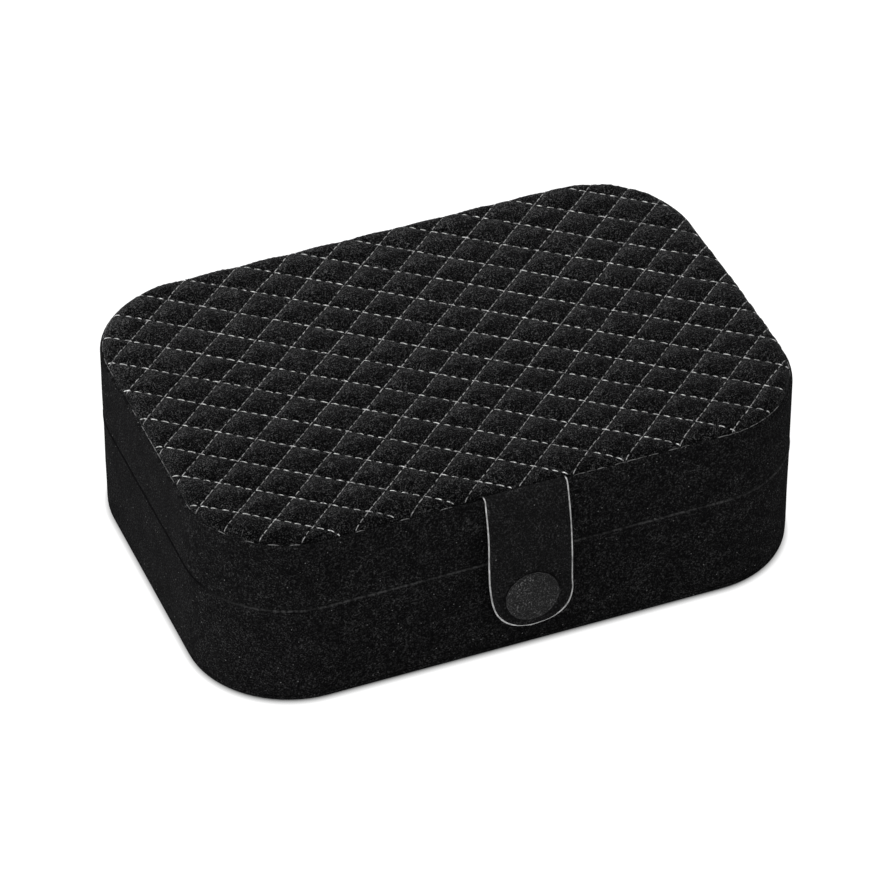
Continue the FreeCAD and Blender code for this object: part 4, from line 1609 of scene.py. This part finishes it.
@dataclass
class ClosingTab:
    """The closing tab: velvet face and back on a pale core, with a covered snap button."""

    middle: float = -1.5 * MM
    half_width: float = 11 * MM
    end_radius: float = 10 * MM
    end_height: float = 10.5 * MM
    bend_height: float = 27 * MM
    centre_y: float = -59.6 * MM
    bend_radius: float = 67.3 * MM
    fold_height: float = 49.2 * MM
    thin_from: float = 47 * MM
    thin_over: float = 3 * MM
    thinning: float = 0.52
    curl: float = 0.25 * MM
    tail: Profile = field(default_factory=lambda: scaled([
        (-55.72, 49.5), (-55.5, 50.02), (-55.05, 50.3), (-54.4, 50.37), (-53, 50.36), (-50, 50.36),
        (-47, 50.36)]))
    plies: Profile = field(default_factory=lambda: scaled([(-0.7, -0.2), (-0.2, 0.3), (0.3, 0.7)]))
    face_margin: float = 0.38 * MM
    back_margin: float = 0.1 * MM
    left_margin_share: float = 0.6
    pressed: float = 0.14 * MM
    pressed_width: float = 0.9 * MM
    left_edge: Profile = field(default_factory=lambda: scaled([
        (0, 0.7), (4, 1.1), (8, 1.15), (12, 0.6), (16, 0.15), (22, 0.05), (30, 0.35), (38, 0.45), (41, 0.5),
        (44, 0.6), (47, 0.7)]))
    right_edge: Profile = field(default_factory=lambda: scaled([
        (0, 0.9), (1, 1.4), (2.5, 1.4), (4, 1.25), (7, 0.75), (11, 0.32), (16, 0.26), (24, 0.2), (36, 0.25),
        (42, 0.3), (46, 0.4)]))
    end_tilt: float = 0.045
    across: int = 24
    button_height: float = 21 * MM
    button_foot: float = -60.3 * MM
    button: Profile = field(default_factory=lambda: scaled([
        (6.6, 0.0), (6.82, 0.1), (6.93, 0.45), (6.93, 0.95), (6.8, 1.4), (6.48, 1.76), (5.9, 1.98),
        (5.0, 2.1), (3.8, 2.18), (2.5, 2.22), (1.2, 2.25), (0.3, 2.25)]))

    def build(self, wardrobe: Wardrobe) -> None:
        """Builds the three plies and the button.

        Args:
            wardrobe: The finishes.
        """
        pieces = (
            ("tab_velvet", self.face_margin, wardrobe.tab, Slot.VELVET, ["tab_face"]),
            ("tab_pale_core", 0.0, wardrobe.cut_edge, Slot.CORE, ["tab_core", "tab_tail"]),
            ("tab_back_velvet", self.back_margin, wardrobe.band, Slot.VELVET, ["tab_backing"]))
        for faces_at, (name, margin, finish, slot, nodes) in zip(self.plies, pieces):
            ply = self._ply(name, faces_at, margin, finish)
            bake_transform(ply)
            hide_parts(*nodes)
            LOG.info("%s bends between lid and tab", name)
        settle(self._button(wardrobe.button), Body.TAB, Slot.VELVET, "cap_cover")

    def _path(self, margin: float) -> tuple[np.ndarray, np.ndarray]:
        """The tab's middle line from its lower end to its tail.

        Args:
            margin: How far the lower end is drawn in.

        Returns:
            Points as depth and height, and the distance along the line from the lower end.
        """
        low = self.end_height + margin
        round_end = low + self.end_radius * (1 - np.cos(np.linspace(0, math.pi / 2, 19)))
        straight = np.linspace(round_end[-1], self.bend_height, 6)[1:]
        lean = np.linspace(self.bend_height, self.fold_height, 24)[1:]
        bent = np.sqrt(self.bend_radius ** 2 - (lean - self.bend_height) ** 2)
        lean_y = self.centre_y + self.bend_radius - bent
        heights = np.concatenate([round_end, straight, lean])
        depths = np.concatenate([np.full(len(round_end) + len(straight), self.centre_y), lean_y])
        path = np.concatenate([np.column_stack([depths, heights]), np.array(self.tail)])
        return path, travel(path)

    def _ply(self, name: str, faces_at: tuple[float, float], margin: float, finish: bpy.types.Material
             ) -> bpy.types.Object:
        """One ply of the tab.

        Args:
            name: The ply's name.
            faces_at: Its outer and inner face from the middle line.
            margin: How far its edge stays inside the tab's edge.
            finish: Its material.

        Returns:
            The new piece.
        """
        path, travelled = self._path(margin)
        tangent = np.gradient(path, axis=0)
        tangent /= np.linalg.norm(tangent, axis=1, keepdims=True)
        inward = np.column_stack([tangent[:, 1], -tangent[:, 0]])
        thin = 1 - self.thinning * np.clip((path[:, 1] - self.thin_from) / self.thin_over, 0, 1)
        radius = self.end_radius
        rounded = np.sqrt(np.clip(radius ** 2 - np.clip(radius - travelled, 0, None) ** 2, 0, None)) - radius
        half = self.half_width - margin + rounded
        left, right = (np.interp(travelled, *zip(*edge)) for edge in (self.left_edge, self.right_edge))
        shares = np.sin(np.linspace(-math.pi / 2, math.pi / 2, self.across + 1))
        rows = []
        for index, (y, z) in enumerate(path):
            left_half = half[index] + (1 - self.left_margin_share) * margin - left[index]
            x = shares * np.where(shares < 0, left_half, half[index] + right[index])
            curl = self.curl * shares ** 2 * thin[index]
            from_edge = np.minimum(half[index] * (1 - np.abs(shares)), travelled[index])
            rim = np.clip(from_edge / self.pressed_width, 0, 1)
            full = 1 - self._pressing(faces_at) * (1 - rim) ** 2
            outer = faces_at[1] + (faces_at[0] - faces_at[1]) * full
            tilt = -self.end_tilt * x * max(0.0, 1 - travelled[index] / radius)
            sheets = [np.column_stack([self.middle + x, y + inward[index, 0] * off,
                                       z + inward[index, 1] * off + tilt])
                      for off in (outer * thin[index] + curl, faces_at[1] * thin[index] + curl)]
            rows.append(np.concatenate([sheets[0], sheets[1][::-1]]))
        return new_piece(name, *loft(np.array(rows), loop=False, caps=True), finish)

    def _pressing(self, faces_at: tuple[float, float]) -> float:
        """The share of a ply's thickness that is pressed out of its outer edge."""
        return 1 - self.pressed / (faces_at[1] - faces_at[0]) if faces_at[0] < faces_at[1] <= 0 else 0.0

    def _button(self, finish: bpy.types.Material) -> bpy.types.Object:
        """The velvet over the snap's cap.

        Args:
            finish: Its velvet.

        Returns:
            The new piece.
        """
        rows = dome((self.middle, self.button_foot, self.button_height), self.button, 72)
        rows[..., 1] += 0.05 * MM * waver(rows, 9 * MM, 2.2)
        return new_piece("button_velvet", *loft(rows, loop=False, caps=True), finish)

    def dress(self, nodes: dict[str, bpy.types.Object], wardrobe: Wardrobe) -> None:
        """Gives the carried-over snap pieces their finish."""
        give(nodes, wardrobe.snap, "snap_cap", "snap_socket")


# Studio


@dataclass
class Lamp:
    """A soft square lamp."""

    name: str
    place: tuple[float, float, float]
    size: float
    watts: float

    def build(self, target: Vector) -> None:
        """Hangs the lamp and turns it to the target.

        Args:
            target: The point that it looks at.
        """
        light = bpy.data.lights.new(self.name, "AREA")
        light.shape, light.size, light.energy = "SQUARE", self.size, self.watts
        lamp = bpy.data.objects.new(self.name, light)
        lamp.location = self.place
        lamp.rotation_euler = (target - Vector(self.place)).to_track_quat("-Z", "Y").to_euler()
        bpy.context.scene.collection.objects.link(lamp)


@dataclass
class Studio:
    """The white studio: floor, world, lamps and the camera."""

    eye: Vector = field(default_factory=lambda: Vector((-396.289, -978.691, 891.100)) * MM)
    target: Vector = field(default_factory=lambda: Vector((0, 0, 24)) * MM)
    lens: float = 218.38
    shift_up: float = -0.00707
    floor_size: float = 6.0
    floor_level: float = -0.05 * MM
    floor_white: float = 0.9
    floor_glow: float = 0.95
    floor_lift: float = 0.18
    painted_contact_shadow_reach: float = 1.6 * MM
    ambient: float = 0.45
    lamps: Sequence[Lamp] = (
        Lamp("overhead_lamp", (-0.2, 0.12, 1.4), 1.6, 16.0),
        Lamp("left_lamp", (-1.3, -0.1, 0.5), 0.9, 7.0),
    )

    def build(self) -> None:
        """Sets up the studio."""
        bpy.context.scene.view_settings.view_transform = "Standard"
        self._floor()
        self._world()
        for lamp in self.lamps:
            lamp.build(self.target)
        self._camera()

    @staticmethod
    def _seen(nodes: Any, links: Any) -> Any:
        """Tells the rays by which the background is seen, straight or in metal and glass.

        Args:
            nodes: The nodes of its material or world.
            links: Their links.

        Returns:
            1 for such rays, else 0.
        """
        path = nodes.new("ShaderNodeLightPath")
        total = path.outputs["Is Camera Ray"]
        for name in ("Is Glossy Ray", "Is Transmission Ray"):
            most = nodes.new("ShaderNodeMath")
            most.operation = "MAXIMUM"
            links.new(total, most.inputs[0])
            links.new(path.outputs[name], most.inputs[1])
            total = most.outputs["Value"]
        return total

    def _floor_finish(self) -> bpy.types.Material:
        """A white that glows where it is seen, darkened close to the case by a painted contact shadow.

        Returns:
            The finished material.
        """
        material = bpy.data.materials.new("white_floor")
        material.use_nodes = True
        nodes, links = material.node_tree.nodes, material.node_tree.links
        plain = nodes["Principled BSDF"]
        plain.inputs["Base Color"].default_value = (*grey(self.floor_white), 1)
        plain.inputs["Roughness"].default_value = 0.9
        glow = nodes.new("ShaderNodeEmission")
        glow.inputs["Color"].default_value = (*grey(1), 1)
        # Painted contact shadow: ambient occlusion darkens the glow close to the case.
        near = nodes.new("ShaderNodeAmbientOcclusion")
        near.inputs["Distance"].default_value = self.painted_contact_shadow_reach
        painted_contact_shadow = nodes.new("ShaderNodeMath")
        painted_contact_shadow.operation = "MULTIPLY"
        links.new(near.outputs["AO"], painted_contact_shadow.inputs[0])
        painted_contact_shadow.inputs[1].default_value = self.floor_glow
        links.new(painted_contact_shadow.outputs["Value"], glow.inputs["Strength"])
        lift = nodes.new("ShaderNodeBsdfDiffuse")
        lift.inputs["Color"].default_value = (*grey(self.floor_lift), 1)
        bright = nodes.new("ShaderNodeAddShader")
        links.new(glow.outputs["Emission"], bright.inputs[0])
        links.new(lift.outputs["BSDF"], bright.inputs[1])
        shown = nodes.new("ShaderNodeMixShader")
        links.new(self._seen(nodes, links), shown.inputs["Fac"])
        links.new(plain.outputs["BSDF"], shown.inputs[1])
        links.new(bright.outputs["Shader"], shown.inputs[2])
        links.new(shown.outputs["Shader"], nodes["Material Output"].inputs["Surface"])
        return material

    def _floor(self) -> None:
        """A white floor with a painted contact shadow round the case and a faint share of its cast shadow."""
        half = self.floor_size / 2
        corners = [(-half, -half), (half, -half), (half, half), (-half, half)]
        mesh = bpy.data.meshes.new("floor")
        mesh.from_pydata([(x, y, self.floor_level) for x, y in corners], [], [(0, 1, 2, 3)])
        mesh.materials.append(self._floor_finish())
        floor = bpy.data.objects.new("floor", mesh)
        bpy.context.scene.collection.objects.link(floor)

    def _world(self) -> None:
        """Even white surroundings, brighter where they are seen."""
        world = bpy.data.worlds.new("studio_world")
        bpy.context.scene.world = world
        world.use_nodes = True
        nodes, links = world.node_tree.nodes, world.node_tree.links
        background = nodes["Background"]
        background.inputs["Color"].default_value = (1, 1, 1, 1)
        strength = nodes.new("ShaderNodeMapRange")
        links.new(self._seen(nodes, links), strength.inputs["Value"])
        strength.inputs["To Min"].default_value = self.ambient
        strength.inputs["To Max"].default_value = 1.0
        links.new(strength.outputs["Result"], background.inputs["Strength"])

    def _camera(self) -> None:
        """The camera at the photograph's viewing angle."""
        data = bpy.data.cameras.new("camera")
        data.lens, data.sensor_width, data.shift_y = self.lens, 36.0, self.shift_up
        data.clip_start, data.clip_end = 0.05, 50.0
        camera = bpy.data.objects.new("camera", data)
        camera.location = self.eye
        camera.rotation_euler = (self.target - self.eye).to_track_quat("-Z", "Y").to_euler()
        bpy.context.scene.collection.objects.link(camera)
        bpy.context.scene.camera = camera


def main() -> None:
    """Builds every sub-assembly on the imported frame."""
    logging.basicConfig(level=logging.INFO, format="%(name)s: %(message)s")
    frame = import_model()
    wardrobe = Wardrobe()
    base, lid, tab = BaseTray(), Lid(), ClosingTab()
    base.build(wardrobe)
    lid.build(wardrobe)
    QuiltedPanel().build(wardrobe)
    HingeRivets().build(wardrobe)
    tab.build(wardrobe)
    for part in (base, lid, tab):
        part.dress(frame["nodes"], wardrobe)
    Studio().build()


if __name__ == "__main__":
    main()
